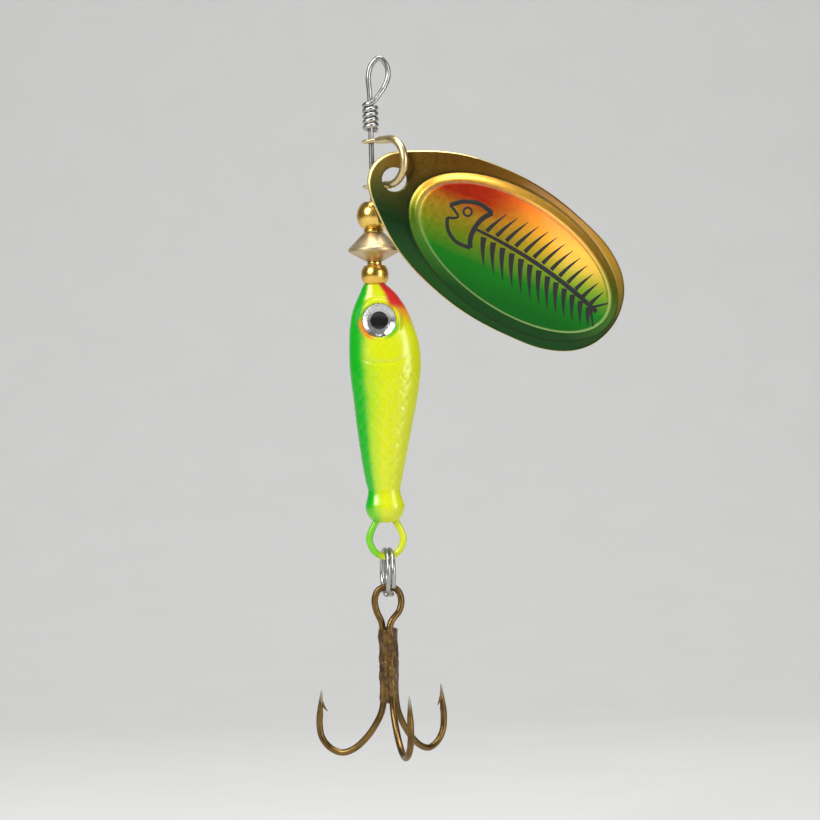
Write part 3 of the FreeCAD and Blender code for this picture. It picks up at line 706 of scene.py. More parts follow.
@dataclass
class FishPrint:
    """A generic fish skeleton printed on the blade's field: spine, ribs, head, tail."""

    blade: Blade
    lift: float = 0.022
    head_at: float = -7.6
    tail_at: float = 15.0
    ribs: int = 13

    def spine(self, share: float) -> tuple[float, float]:
        """Gently bowed spine from head to tail."""
        u = self.head_at + (self.tail_at - self.head_at) * share
        return u, 0.9 - 3.4 * (share - 0.45) ** 2

    def strokes(self) -> list[Stroke]:
        """Every stroke as plan points and half widths."""
        out: list[Stroke] = []
        line = [self.spine(k / 30) for k in range(31)]
        out.append((line, [0.20 + 0.26 * (k / 30) * (1.6 - k / 30) for k in range(31)]))
        for i in range(self.ribs):
            share = 0.07 + 0.86 * i / (self.ribs - 1)
            u0, v0 = self.spine(share)
            reach = 5.0 * math.sin(math.pi * (0.26 + 0.62 * share)) ** 0.8
            for sign, lean, thick in ((1, 0.30, 0.34), (-1, 0.62, 0.46)):
                pts, wid = [], []
                start = 0.10 if sign > 0 else 0.13
                for k in range(11):
                    t = start + (1 - start) * k / 10
                    pts.append((u0 + lean * reach * t ** 1.4, v0 + sign * reach * t))
                    wid.append(thick * (1 - 0.90 * ((t - start) / (1 - start)) ** 1.3))
                out.append((pts, wid))
        out += self.head() + self.tail()
        return out

    def head(self) -> list[Stroke]:
        """Rounded head outline with an open mouth, an eye ring and a gill bar."""
        h = self.head_at
        upper = through([(h + 0.9, 3.6), (h - 1.4, 3.7), (h - 3.6, 2.7), (h - 5.0, 1.2)], 20)
        lower = through([(h + 0.9, -2.6), (h - 1.5, -2.9), (h - 3.4, -2.0), (h - 4.4, -0.6)], 20)
        mouth = through([(h - 5.0, 1.2), (h - 3.7, 0.75), (h - 3.1, 0.35), (h - 3.6, -0.2),
                         (h - 4.4, -0.6)], 16)
        gill = through([(h + 0.9, 3.6), (h + 0.1, 2.1), (h - 0.15, 0.5), (h + 0.1, -1.2),
                        (h + 0.9, -2.6)], 20)
        eye = [(h - 2.3 + 0.62 * math.cos(a), 1.75 + 0.62 * math.sin(a))
               for a in np.linspace(0, math.tau, 25)]
        parts = ((upper, 0.34), (lower, 0.28), (mouth, 0.20), (gill, 0.38), (eye, 0.17))
        return [([tuple(p) for p in line], [wide] * len(line)) for line, wide in parts]

    def tail(self) -> list[Stroke]:
        """Two tail rays."""
        u0, v0 = self.spine(1.0)
        rays = []
        for angle in (-46, 46):
            a = math.radians(angle)
            pts = [(u0 - 1.2 + 2.9 * t * math.cos(a), v0 + 2.9 * t * math.sin(a))
                   for t in np.linspace(0, 1, 8)]
            rays.append((pts, [0.26 - 0.14 * t for t in np.linspace(0, 1, 8)]))
        return rays

    def build(self) -> bpy.types.Object:
        """All strokes as thin raised ink on the blade."""
        bm = bmesh.new()
        for points, widths in self.strokes():
            self.stroke(bm, points, widths)
        return finish_mesh(bm, "blade_print", merge=1e-9)

    def height(self, u: float, v: float) -> float:
        """Outer face height of the stamped field."""
        blade = self.blade
        a, b = blade.oval_long / 2 - blade.band, blade.oval_wide / 2 - blade.band_across
        return blade.cup(u, v) + blade.rise(math.hypot((u - blade.mid) / a, v / b))

    def stroke(self, bm: bmesh.types.BMesh, points: Sequence[tuple[float, float]],
               widths: Sequence[float]) -> None:
        """One stroke: a strip with its two edges let down to the blade."""
        rows = []
        pts = [Vector(p) for p in points]
        for i, p in enumerate(pts):
            way = (pts[min(i + 1, len(pts) - 1)] - pts[max(i - 1, 0)]).normalized()
            side = Vector((-way.y, way.x))
            row = []
            for across, lift in ((-1.0, 0.0), (-0.8, 1.0), (0.0, 1.0), (0.8, 1.0), (1.0, 0.0)):
                q = p + side * widths[i] * across
                u, v = q.x + self.blade.mid, q.y
                row.append(bm.verts.new(self.blade.world(
                    u, v, self.height(u, v) + self.lift * lift - 0.004) * MM))
            rows.append(row)
        for lower, upper in zip(rows, rows[1:]):
            for k in range(4):
                bm.faces.new((lower[k], lower[k + 1], upper[k + 1], upper[k]))


# ------------------------------------------------------------------- wires
@dataclass
class ShaftWire:
    """Through-wire in one length: cut end, wraps, line tie, shaft and tail eye."""

    radius: float = 0.4
    drop: float = 6.45
    turns: float = 4.5
    air: float = 0.03
    cut: float = 1.1
    foot: float = -60.8

    def path(self) -> np.ndarray:
        """Wire centre from the cut end to the end of the tail eye."""
        around = 2 * self.radius + self.air
        low, first = -self.drop - around * self.turns, -90 - 360 * self.turns
        points = [(self.cut * share, around, low - 0.12 * share) for share in (1.0, 0.6, 0.3)]
        count = int(self.turns * 18)
        for k in range(count + 1):
            a = math.radians(first + 360 * self.turns * k / count)
            rise = around * self.turns * k / count
            points.append((around * math.cos(a), around * math.sin(a), low + rise))
        points += [(0.62, -0.74, -6.06), (1.42, -0.52, -5.10), (2.26, -0.22, -3.85), (2.80, 0.0, -2.30),
                   (2.62, 0.0, -0.75), (1.52, 0.0, 0.40), (0.36, 0.0, -0.55), (-0.16, 0.0, -2.3),
                   (-0.08, 0.0, -4.2), (0.0, 0.0, -6.0)]
        points += [(0.0, 0.0, z) for z in (-8.0, -12.0, -25.0, -40.0, self.foot)]
        points += [(x, 0.0, z) for x, z in tail_eye()]
        return through(points, 1500)

    def build(self) -> bpy.types.Object:
        """The wire as one closed tube."""
        return tube("through_wire", self.path(), self.radius)


@dataclass
class Clevis:
    """Folded clevis: round wire hammered to a drilled lens-shaped tab at each end."""

    bend: float = 3.4
    arm: float = 3.95
    mid: float = -15.45
    turn: float = 48.4
    wire: float = 0.6
    tab: float = 1.5
    tab_half: float = 0.33
    bore: float = 0.48

    def build(self) -> bpy.types.Object:
        """Sweep a section that flattens toward both tabs, then drill them."""
        ends = [(x, self.bend) for x in np.linspace(-self.tab, self.arm, 60)]
        arc = [(self.arm + self.bend * math.cos(a), self.bend * math.sin(a))
               for a in np.linspace(math.pi / 2, -math.pi / 2, 70)[1:-1]]
        line = ends + arc + [(x, -z) for x, z in reversed(ends)]
        turn = Matrix.Rotation(math.radians(-self.turn), 3, "Z")

        def place(s: float, t: float) -> Vector:
            k = round(t * (len(line) - 1))
            x, z = line[k]
            before, after = line[max(0, k - 1)], line[min(len(line) - 1, k + 1)]
            way = Vector((after[0] - before[0], 0, after[1] - before[1])).normalized()
            side, up = Vector((0, 1, 0)), way.cross(Vector((0, 1, 0)))
            flat = 1 - smooth(self.tab * 0.55, self.tab + 1.0, x)
            disc = max(0.0, self.tab ** 2 - x * x) ** 0.5
            wide = self.wire * (1 - flat) + flat * disc if x < self.tab else self.wire
            wide = max(wide, self.wire * smooth(-0.2, 1.2, x))
            high = self.wire * (1 - flat) + self.tab_half * flat
            high *= smooth(-self.tab - 0.12, -self.tab + 0.22, x)
            if k in (0, len(line) - 1):
                wide = high = 0.0
            a = math.tau * s
            point = Vector((x, 0, z)) + side * wide * math.cos(a) + up * high * math.sin(a)
            return turn @ point + Vector((0, 0, self.mid))

        piece = lattice("folded_clevis", 32, len(line) - 1, place, uv=False)
        drill_out(piece, self.bore, 12, Matrix.Translation((0, 0, self.mid * MM)), 48)
        return piece


@dataclass
class SplitRing:
    """Two turns of spring wire with the cross-over low on the near side."""

    outside: float = 7.45
    wire: float = 0.70
    air: float = 0.03
    yaw: float = 9.0
    side: float = 0.70
    middle: float = -76.725
    start: float = 150.0

    def build(self) -> bpy.types.Object:
        """Sweep the double coil."""
        rad, off = (self.outside - self.wire) / 2, (self.wire + self.air) / 2
        turn = Matrix.Rotation(math.radians(self.yaw), 3, "Z")
        line = []
        for angle in np.linspace(20, 700, 420):
            x = off * (2 * smooth(345, 375, angle) - 1)
            a = math.radians(angle + self.start)
            line.append(turn @ Vector((x, -rad * math.sin(a), rad * math.cos(a)))
                        + Vector((self.side, 0, self.middle)))
        return tube("split_ring_coil", np.array([tuple(p) for p in line]), self.wire / 2)


@dataclass
class Treble:
    """Treble hook: three shanks, eye, barbed points and the lumpy brazed joint."""

    wire: float = 0.5
    eye: float = 1.98
    side: float = TREBLE_SIDE
    shank: float = 15.3
    off: float = 1.05
    reach: float = 10.3
    drop: float = 7.7
    rise: float = 9.5
    point: float = 2.8
    front: float = -75.0
    braze: tuple[float, float] = (-4.0, -15.7)
    lift: float = 0.06

    def __post_init__(self) -> None:
        """Take the eye's height from the CAD node."""
        self.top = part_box("double_hook")[1].z / MM - self.eye - self.wire + self.lift

    def flat(self) -> list[tuple[float, float]]:
        """One hook in its own plane: radius and height from the eye, shank to tip."""
        z0, low = -self.shank, -self.shank - self.drop
        o, r = self.off, self.reach
        return [(o, z0 + 6), (o, z0 + 3), (o, z0 + 1.0), (o + r * 0.035, z0 - self.drop * 0.18),
                (o + r * 0.13, z0 - self.drop * 0.44), (o + r * 0.29, z0 - self.drop * 0.72),
                (o + r * 0.48, z0 - self.drop * 0.93), (o + r * 0.66, low), (o + r * 0.84, low + 0.75),
                (o + r * 0.96, low + 2.35), (o + r * 0.99, low + 4.2), (o + r * 0.975, low + 6.4),
                (o + r * 0.945, low + self.rise)]

    def hook(self, azimuth: float, start: Sequence[Vector]) -> tuple[np.ndarray, Callable[[float], float]]:
        """Points of one hook after the given lead, and its radius along the way."""
        a = math.radians(azimuth)
        points = [tuple(p) for p in start]
        points += [(r * math.cos(a), r * math.sin(a), z) for r, z in self.flat()]
        line = through(points, 420) + np.array((self.side, 0.0, self.top))
        length = float(np.sum(np.linalg.norm(np.diff(line, axis=0), axis=1)))
        share = self.point * 1.35 / length

        def radius(t: float) -> float:
            left = min(1.0, (1 - t) / share)
            return self.wire * (0.05 + 0.95 * left ** 0.72)

        return line, radius

    def barb(self, name: str, azimuth: float) -> bpy.types.Object:
        """A sliver raised from the inner side below the point."""
        a = math.radians(azimuth)
        out = Vector((math.cos(a), math.sin(a), 0))
        low = -self.shank - self.drop
        root = out * (self.off + self.reach * 0.955) + Vector((0, 0, low + 7.7))
        tip = out * (self.off + self.reach * 0.955 - 1.02) + Vector((0, 0, low + 6.15))
        shift = Vector((self.side, 0, self.top))
        line = np.array([tuple(root.lerp(tip, t) + out * 0.10 * math.sin(math.pi * t) + shift)
                         for t in np.linspace(0, 1, 14)])
        return tube(name, line, lambda t: 0.30 * (1 - t) ** 0.8 + 0.015, 12)

    def lump(self) -> bpy.types.Object:
        """The braze: a skin over the three shanks with runs and grains of solder."""
        high, low = self.braze
        centres = [Vector((self.off * math.cos(math.radians(self.front + k)),
                           self.off * math.sin(math.radians(self.front + k)))) for k in (0, 120, 240)]

        def place(s: float, t: float) -> Vector:
            a, z = math.tau * s, high + (low - high) * t
            way = Vector((math.cos(a), math.sin(a)))
            reach = 0.45
            for index, c in enumerate(centres):
                along = c.dot(way)
                across = abs(c.x * way.y - c.y * way.x)
                wide = self.wire + 0.10
                if index == 1:
                    wide *= 1 - 0.55 * smooth(0.62, 0.80, t)
                if along > 0 and across < wide:
                    reach = max(reach, along + math.sqrt(wide * wide - across * across))
            fill = self.off + 0.22 - 0.50 * smooth(0.45, 1.0, t)
            reach = math.log(math.exp(7 * reach) + math.exp(7 * fill)) / 7
            spot = Vector((way.x, way.y, 0.45 * z + 7))
            reach += 0.20 * noise.noise(spot * 1.3) + 0.07 * noise.noise(spot * 4.1)
            reach *= smooth(0.0, 0.05, t) ** 0.5 * smooth(1.0, 0.965, t) ** 0.5
            return Vector((way.x * reach + self.side, way.y * reach, z + self.top))

        return lattice("braze_fillet", 96, 150, place, uv=False)

    def build(self) -> None:
        """Make, dress and seat the hooks and the braze."""
        e, right, left = self.eye, self.front + 120, self.front + 240

        def inside(azimuth: float, z: float) -> Vector:
            a = math.radians(azimuth)
            return Vector((self.off * math.cos(a), self.off * math.sin(a), z))

        def bow(sign: int, *points: Rgb) -> list[Vector]:
            return [Vector((sign * e * x, y, e * z)) for x, y, z in points]

        crown, upper, widest = (0.0, 0.0, 1.0), (0.70, 0.0, 0.72), (1.0, 0.0, 0.02)
        front_lead = bow(1, crown, upper, widest, (0.86, -0.25, -0.82))
        left_lead = bow(-1, crown, upper, widest, (0.90, 0.12, -0.82))
        hooks = (("front", self.front, front_lead + [inside(self.front, -e * 1.85)], "double_hook"),
                 ("left", left, left_lead + [inside(left, -e * 1.85)], "double_hook"),
                 ("right", right, [inside(right, -e * 1.75 - 1.4)], "single_hook"))
        steel = Metal.HOOK.material()
        for name, azimuth, lead, node in hooks:
            line, radius = self.hook(azimuth, lead)
            seat(tube("hook_" + name, line, radius), steel, "treble", "bronzed_steel", node)
            seat(self.barb("barb_" + name, azimuth), steel, "treble", "bronzed_steel")
        seat(self.lump(), Metal.BRAZE.material(), "treble", "solder", "braze")


# ------------------------------------------------------------------- beads
@dataclass
class Bead:
    """A turned bead on the shaft, sized from its CAD node."""

    node: str
    metal: Metal
    slot: str
    bore: float = 0.45

    def extent(self) -> tuple[float, float, float]:
        """Top, bottom and radius of the CAD node."""
        low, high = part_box(self.node)
        return high.z / MM, low.z / MM, (high.x - low.x) / 2 / MM

    def ball(self) -> Flat:
        """Profile of a drilled ball with flats."""
        top, bottom, radius = self.extent()
        mid = (top + bottom) / 2
        limit = math.asin((top - mid) / radius)
        arc = [(radius * math.cos(a), mid + radius * math.sin(a))
               for a in np.linspace(-limit, limit, 40)]
        ease = 0.12
        return [(self.bore + ease, bottom), *arc, (self.bore + ease, top),
                (self.bore, top - ease), (self.bore, bottom + ease)]

    def washer(self) -> Flat:
        """Profile of a thin collar."""
        top, bottom, radius = self.extent()
        return [(self.bore, bottom), (radius, bottom), (radius, top), (self.bore, top)]

    def cone(self, top_dia: float, low_dia: float, upper: float, band: float) -> Flat:
        """Profile of a double cone with a rim band."""
        top, bottom, radius = self.extent()
        return [(self.bore, bottom), (low_dia / 2, bottom), (radius, top - upper - band),
                (radius, top - upper), (top_dia / 2, top), (self.bore, top)]

    def build(self, profile: Flat, round_off: float) -> None:
        """Spin the profile, dress it and seat it."""
        piece = lathe(self.node + "_turned", profile, round_off)
        seat(piece, self.metal.material(), self.node, self.slot, self.node)


# ------------------------------------------------------------------- body
@dataclass(frozen=True)
class MinnowPaint:
    """Glossy fluorescent paint: green back, yellow side, red throat, orange under the eye."""

    name: str = "minnow_paint"
    yellow: Rgb = (0.62, 0.68, 0.000)
    lime: Rgb = (0.16, 0.56, 0.004)
    green: Rgb = (0.000, 0.40, 0.004)
    orange: Rgb = (0.80, 0.20, 0.004)
    red: Rgb = (0.58, 0.012, 0.012)
    shadow: Rgb = (0.20, 0.34, 0.000)

    def build(self) -> bpy.types.Material:
        """Make the material on Object coordinates."""
        material, t, shader = new_material(self.name)
        here = t.here()
        x, _, z = (t.times(part, 1 / MM) for part in t.parts(here))
        cloud = t.noise(here, 420.0, 4.0, 0.65)
        drift = t.ramp(cloud, 0.2, 0.8, (-0.45, 0.45), soft=False)
        # -1 to 1 from edge to edge at each height, so the green follows the fish's back
        across = t.math("ADD", t.mask("across"), t.times(drift, 0.12))
        haze = t.times(t.ramp(across, 0.05, -0.55), t.ramp(z, -43.0, -47.0, (0.25, 1)))
        colour = t.mix(t.times(haze, 0.55), self.yellow, self.lime)
        colour = t.mix(t.ramp(across, -0.42, -0.74), colour, self.green)
        low = t.times(t.ramp(z, -66.0, -69.0), t.ramp(x, 0.4, -1.2))
        colour = t.mix(low, colour, self.lime)
        rosy = t.times(t.ramp(across, 0.46, 0.84), t.ramp(z, -40.6, -37.4))
        colour = t.mix(t.times(rosy, 0.8), colour, self.orange)
        throat = t.times(t.ramp(across, 0.22, 0.52), t.ramp(z, -37.9, -36.4))
        colour = t.mix(throat, colour, self.red)
        ring = self.spot(t, x, z, EYE_AT, 3.15, drift)
        west = t.times(t.ramp(x, 0.3, -1.2), t.ramp(z, -38.2, -39.6))
        colour = t.mix(t.times(t.times(ring, west), 0.9), colour, self.orange)
        east = t.times(t.ramp(x, 0.8, 2.2), t.ramp(z, -38.6, -40.2))
        colour = t.mix(t.times(t.times(ring, east), 0.75), colour, self.green)
        # painted shade: olive darkening in the low side of each scale dimple
        colour = t.mix(t.times(t.mask("dimple"), 0.42), colour, self.shadow)
        speck = t.noise(here, 5200.0, 2.0)
        shade = t.ramp(speck, 0.3, 0.8, (0.93, 1.05))
        colour = t.tint(colour, shade)
        t.dye(shader, colour, t.ramp(cloud, 0.2, 0.8, (0.22, 0.34)))
        # painted glow: the paint colour is also emitted faintly, standing in for the fluorescent paint's
        # brightness
        t.link(colour, shader.inputs["Emission Color"])
        t.settle(shader, Emission_Strength=0.04, Coat_Weight=0.4, Coat_Roughness=0.14)
        bump(t, t.noise(here, 1300.0, 3.0), shader, 0.00003)
        return material

    @staticmethod
    def spot(t: Tree, x: object, z: object, at: tuple[float, float], size: float,
             drift: object) -> bpy.types.Node:
        """A soft round patch of sprayed paint."""
        dx, dz = (t.math("DIVIDE", t.math("SUBTRACT", value, middle), size)
                  for value, middle in ((x, at[0]), (z, at[1])))
        away = t.length(dx, dz)
        return t.ramp(t.math("ADD", away, t.times(drift, 0.12)), 1.06, 0.92)


@dataclass
class Minnow:
    """The painted casting: trunk, eye sockets, gill crease, scales and tail knob."""

    # height, left edge, right edge, half thickness, in millimetres
    rows: tuple[tuple[float, float, float, float], ...] = (
        (-33.55, -1.80, 1.62, 1.60), (-34.8, -2.34, 2.95, 1.95), (-36.0, -2.93, 3.82, 2.25),
        (-37.2, -3.41, 4.55, 2.50), (-38.4, -3.75, 5.10, 2.70), (-39.6, -3.94, 5.50, 2.88),
        (-40.8, -4.08, 5.90, 3.00), (-42.0, -4.14, 6.25, 3.10), (-44.4, -4.20, 6.55, 3.20),
        (-46.8, -4.12, 6.48, 3.18), (-50.4, -3.76, 5.94, 3.02), (-55.2, -3.30, 4.90, 2.72),
        (-60.0, -2.73, 3.87, 2.36), (-63.0, -2.25, 3.20, 2.00), (-64.6, -1.92, 2.92, 1.78),
        (-65.4, -2.05, 3.10, 1.88), (-66.9, -2.37, 3.50, 2.20), (-68.2, -2.05, 3.15, 1.95),
        (-69.15, -1.20, 2.35, 1.20))
    eye_proud: float = 2.85
    eye_deep: float = 0.62
    scale_high: float = 0.15
    scale_pitch: tuple[float, float] = (1.8, 2.2)
    turns: int = 240
    steps: int = 330

    def __post_init__(self) -> None:
        """Fair the rows into smooth edges."""
        line = through(self.rows, 400)
        order = np.argsort(line[:, 0])
        self._line = line[order]

    def section(self, z: float) -> tuple[float, float, float]:
        """Left edge, right edge and half thickness at a height."""
        return tuple(float(np.interp(z, self._line[:, 0], self._line[:, k])) for k in (1, 2, 3))

    def scale(self, x: float, z: float) -> float:
        """Height share of the nearest scale: a low dome, deepest at its lower edge."""
        wide, high = self.scale_pitch
        best = 9.0
        for shift in (0.0, 0.5):
            col, row = round(x / wide - shift), round(z / high - shift)
            dx, dz = x - (col + shift) * wide, z - (row + shift) * high
            best = min(best, math.hypot(dx / wide, dz / high + 0.10))
        return 0.35 - min(1.0, best / 0.62) ** 3

    @staticmethod
    def scaly(z: float) -> float:
        """1 where the flank has scales, 0 on head and tail."""
        return smooth(-45.2, -46.8, z) * smooth(-64.2, -62.6, z)

    def relief(self, x: float, z: float, y: float) -> float:
        """Half thickness at a side point with the eye socket, gill and scales added."""
        left, right, half = self.section(z)
        mid, wide = (left + right) / 2, (right - left) / 2
        across = (x - mid) / wide
        facing = smooth(0.12, 0.5, math.sqrt(max(0.0, 1 - across * across)))
        away = math.hypot(x - EYE_AT[0], z - EYE_AT[1])
        y += self.scale_high * self.scale(x, z) * self.scaly(z) * facing
        crease = math.hypot(x - 1.0, z + 37.0) - 8.3
        fade = smooth(-41.0, -44.0, z) * smooth(4.2, 2.2, abs(x - 1.0)) * facing
        y -= 0.07 * (1 - smooth(0.0, 0.55, abs(crease))) * fade
        y += 0.05 * (1 - smooth(0.1, 1.8, -crease)) * fade * (1 if crease < 0 else 0)
        if away < EYE_RADIUS + 1.6:
            rim = max(y, self.eye_proud - 0.04)
            if away < EYE_RADIUS + 0.05:
                y = self.eye_proud - self.eye_deep - 0.05
            elif away < EYE_RADIUS + 0.45:
                y = rim
            else:
                y += (rim - y) * (1 - smooth(EYE_RADIUS + 0.45, EYE_RADIUS + 1.2, away))
        return y

    def build(self) -> bpy.types.Object:
        """The casting's skin as one closed mesh."""
        top, bottom = self.rows[0][0], self.rows[-1][0]
        cap = 6

        def place(s: float, t: float) -> Vector:
            step = round(t * self.steps)
            if step < cap or step > self.steps - cap:
                z = top if step < cap else bottom
                shrink = (step if step < cap else self.steps - step) / cap
            else:
                z = top + (bottom - top) * (step - cap) / (self.steps - 2 * cap)
                shrink = 1.0
            left, right, half = self.section(z)
            mid, wide = (left + right) / 2, (right - left) / 2
            a = math.tau * s
            power = 0.94
            cx, sy = math.cos(a), math.sin(a)
            x = mid + wide * math.copysign(abs(cx) ** power, cx) * shrink
            y = half * math.copysign(abs(sy) ** power, sy) * shrink
            if shrink == 1.0 and abs(y) > 0.25:
                y = math.copysign(self.relief(x, z, abs(y)), y)
            ease = 0.18 * (1 - shrink) ** 0.5 if z == bottom else 0.0
            return Vector((x, y, z - ease))

        piece = lattice("minnow_casting", self.turns, self.steps, place)
        share = piece.data.attributes.new("across", "FLOAT", "POINT")
        # dimple holds the strength of the painted shade in the scale hollows
        dimple = piece.data.attributes.new("dimple", "FLOAT", "POINT")
        for vert in piece.data.vertices:
            x, z = vert.co.x / MM, vert.co.z / MM
            left, right, _ = self.section(z)
            share.data[vert.index].value = (x - (left + right) / 2) / ((right - left) / 2)
            dimple.data[vert.index].value = self.scaly(z) * smooth(0.05, -0.55, self.scale(x, z))
        return piece


def tail_eye(side: float = 0.62, low: float = -74.4, rad: float = 2.55) -> Flat:
    """Wire centre round the tail eye, from one leg inside the casting to the other."""
    mid = low + rad
    right = [(0.45, mid + rad * 1.85), (rad * 0.55, mid + rad * 1.12), (rad * 0.86, mid + rad * 0.55),
             (rad, mid + rad * 0.05), (rad * 0.78, mid - rad * 0.6), (rad * 0.36, mid - rad * 0.93)]
    left = [(-x, z) for x, z in right]
    return [(side + x, z) for x, z in left + [(0.0, low)] + right[::-1]]


@dataclass
class TailPaint:
    """Paint that runs from the casting over the tail eye."""

    coat: float = 0.52

    def build(self) -> bpy.types.Object:
        """The coat as a slightly uneven tube."""
        line = through([(x, 0.0, z) for x, z in tail_eye()], 160)
        return tube("tail_eye_paint", line,
                    lambda t: self.coat + 0.018 * math.sin(31 * t) * math.sin(9 * t), 24)


# -------------------------------------------------------------------- eyes
@dataclass(frozen=True)
class FoilFinish:
    """Silver foil ring with fine concentric lines."""

    name: str = "eye_foil"

    def build(self) -> bpy.types.Material:
        """Make the material."""
        material, t, shader = new_material(self.name)
        here = t.here()
        x, _, z = t.parts(here)
        r = t.length(t.math("SUBTRACT", x, EYE_AT[0] * MM), t.math("SUBTRACT", z, EYE_AT[1] * MM))
        lines = t.math("SINE", t.times(r, 42000.0))
        haze = t.noise(here, 1600.0, 3.0)
        colour = t.mix(t.ramp(haze, 0.35, 0.75), (0.80, 0.80, 0.81), (0.70, 0.70, 0.71))
        t.dye(shader, colour, t.ramp(haze, 0.3, 0.8, (0.24, 0.34)))
        t.settle(shader, Metallic=1.0)
        bump(t, lines, shader, 0.000001)
        return material


@dataclass(frozen=True)
class PupilFinish:
    """Gloss black of the pupil, with a faint mottle."""

    name: str = "pupil_black"
    dark: Rgb = (0.004, 0.004, 0.005)
    light: Rgb = (0.012, 0.012, 0.014)
    rough: tuple[float, float] = (0.10, 0.22)

    def build(self) -> bpy.types.Material:
        """Make the material."""
        material, t, shader = new_material(self.name)
        haze = t.noise(t.here(), 2600.0, 3.0)
        t.dye(shader, t.mix(haze, self.dark, self.light), t.ramp(haze, 0.2, 0.8, self.rough))
        bump(t, haze, shader, 0.000002)
        return material


@dataclass(frozen=True)
class EpoxyFinish:
    """Clear epoxy of the eye dome."""

    name: str = "clear_epoxy"

    def build(self) -> bpy.types.Material:
        """Make the material."""
        material, t, shader = new_material(self.name)
        haze = t.noise(t.here(), 900.0, 2.0)
        colour = t.mix(haze, (0.99, 0.99, 0.985), (0.96, 0.965, 0.96))
        t.dye(shader, colour, t.ramp(haze, 0.3, 0.8, (0.015, 0.05)))
        t.settle(shader, IOR=1.5, Transmission_Weight=1.0, Specular_IOR_Level=0.25)
        bump(t, haze, shader, 0.0000004)
        return material


@dataclass
class Eye:
    """One stick-on eye: foil ring, raised pupil and clear dome."""

    side: str
    sign: int
    x: float = EYE_AT[0]
    radius: float = EYE_RADIUS
    pupil: float = 1.3

    def __post_init__(self) -> None:
        """Take the eye's place from its CAD nodes."""
        low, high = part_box("eye_foil_" + self.side)
        self.z = (low.z + high.z) / 2 / MM
        self.floor = min(abs(low.y), abs(high.y)) / MM
        low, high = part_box("eye_lens_" + self.side)
        self.crown = max(abs(low.y), abs(high.y)) / MM

    def turned(self, name: str, profile: Flat) -> bpy.types.Object:
        """Spin a (radius, outward) profile about the eye's own axis.

        Args:
            name: name of the piece.
            profile: open outline from axis to axis, in millimetres.

        Returns:
            The new object.
        """
        bm = bmesh.new()
        verts = [bm.verts.new((r * MM, 0, h * MM)) for r, h in profile]
        for a, b in zip(verts, verts[1:]):
            bm.edges.new((a, b))
        bmesh.ops.spin(bm, geom=bm.verts[:] + bm.edges[:], cent=(0, 0, 0), axis=(0, 0, 1),
                       angle=math.tau, steps=96, use_merge=True)
        turn = Matrix.Rotation(math.radians(90 if self.sign < 0 else -90), 4, "X")
        move = Matrix.Translation(Vector((self.x, 0, self.z)) * MM)
        bmesh.ops.transform(bm, verts=bm.verts, matrix=move @ turn)
        return finish_mesh(bm, name, merge=1e-8)

    def build(self, foil: bpy.types.Material, ink: bpy.types.Material,
              clear: bpy.types.Material) -> None:
        """Make, dress and seat the three pieces."""
        f, r, p = self.floor, self.radius, self.pupil
        disc = self.turned("eye_foil_ring_" + self.side, [
            (0, f), (r - 0.05, f), (r, f + 0.05), (r, f + 0.20), (r - 0.10, f + 0.27),
            (r - 0.30, f + 0.22), (p + 0.30, f + 0.13), (p + 0.12, f + 0.15), (p, f + 0.13),
            (0, f + 0.13)])
        seat(disc, foil, "body", "silver_foil", "eye_foil_" + self.side)
        quarter = math.pi / 2
        dome = [(p * math.cos(a), f + 0.14 + 0.12 * math.sin(a)) for a in np.linspace(0, quarter, 10)]
        dot = self.turned("eye_pupil_dot_" + self.side,
                          [(0, f + 0.10), (p, f + 0.10), *dome[:-1], (0, f + 0.26)])
        seat(dot, ink, "body", "black_ink", "eye_pupil_" + self.side)
        base, crown, rim = f + 0.285, self.crown, self.crown - 0.42
        arc = [(r * math.cos(a), rim + (crown - rim) * math.sin(a)) for a in np.linspace(0, quarter, 24)]
        lens = self.turned("eye_dome_" + self.side,
                           [(0, base), (r - 0.12, base), (r, base + 0.06), *arc[:-1], (0, crown)])
        seat(lens, clear, "body", "clear_epoxy", "eye_lens_" + self.side)


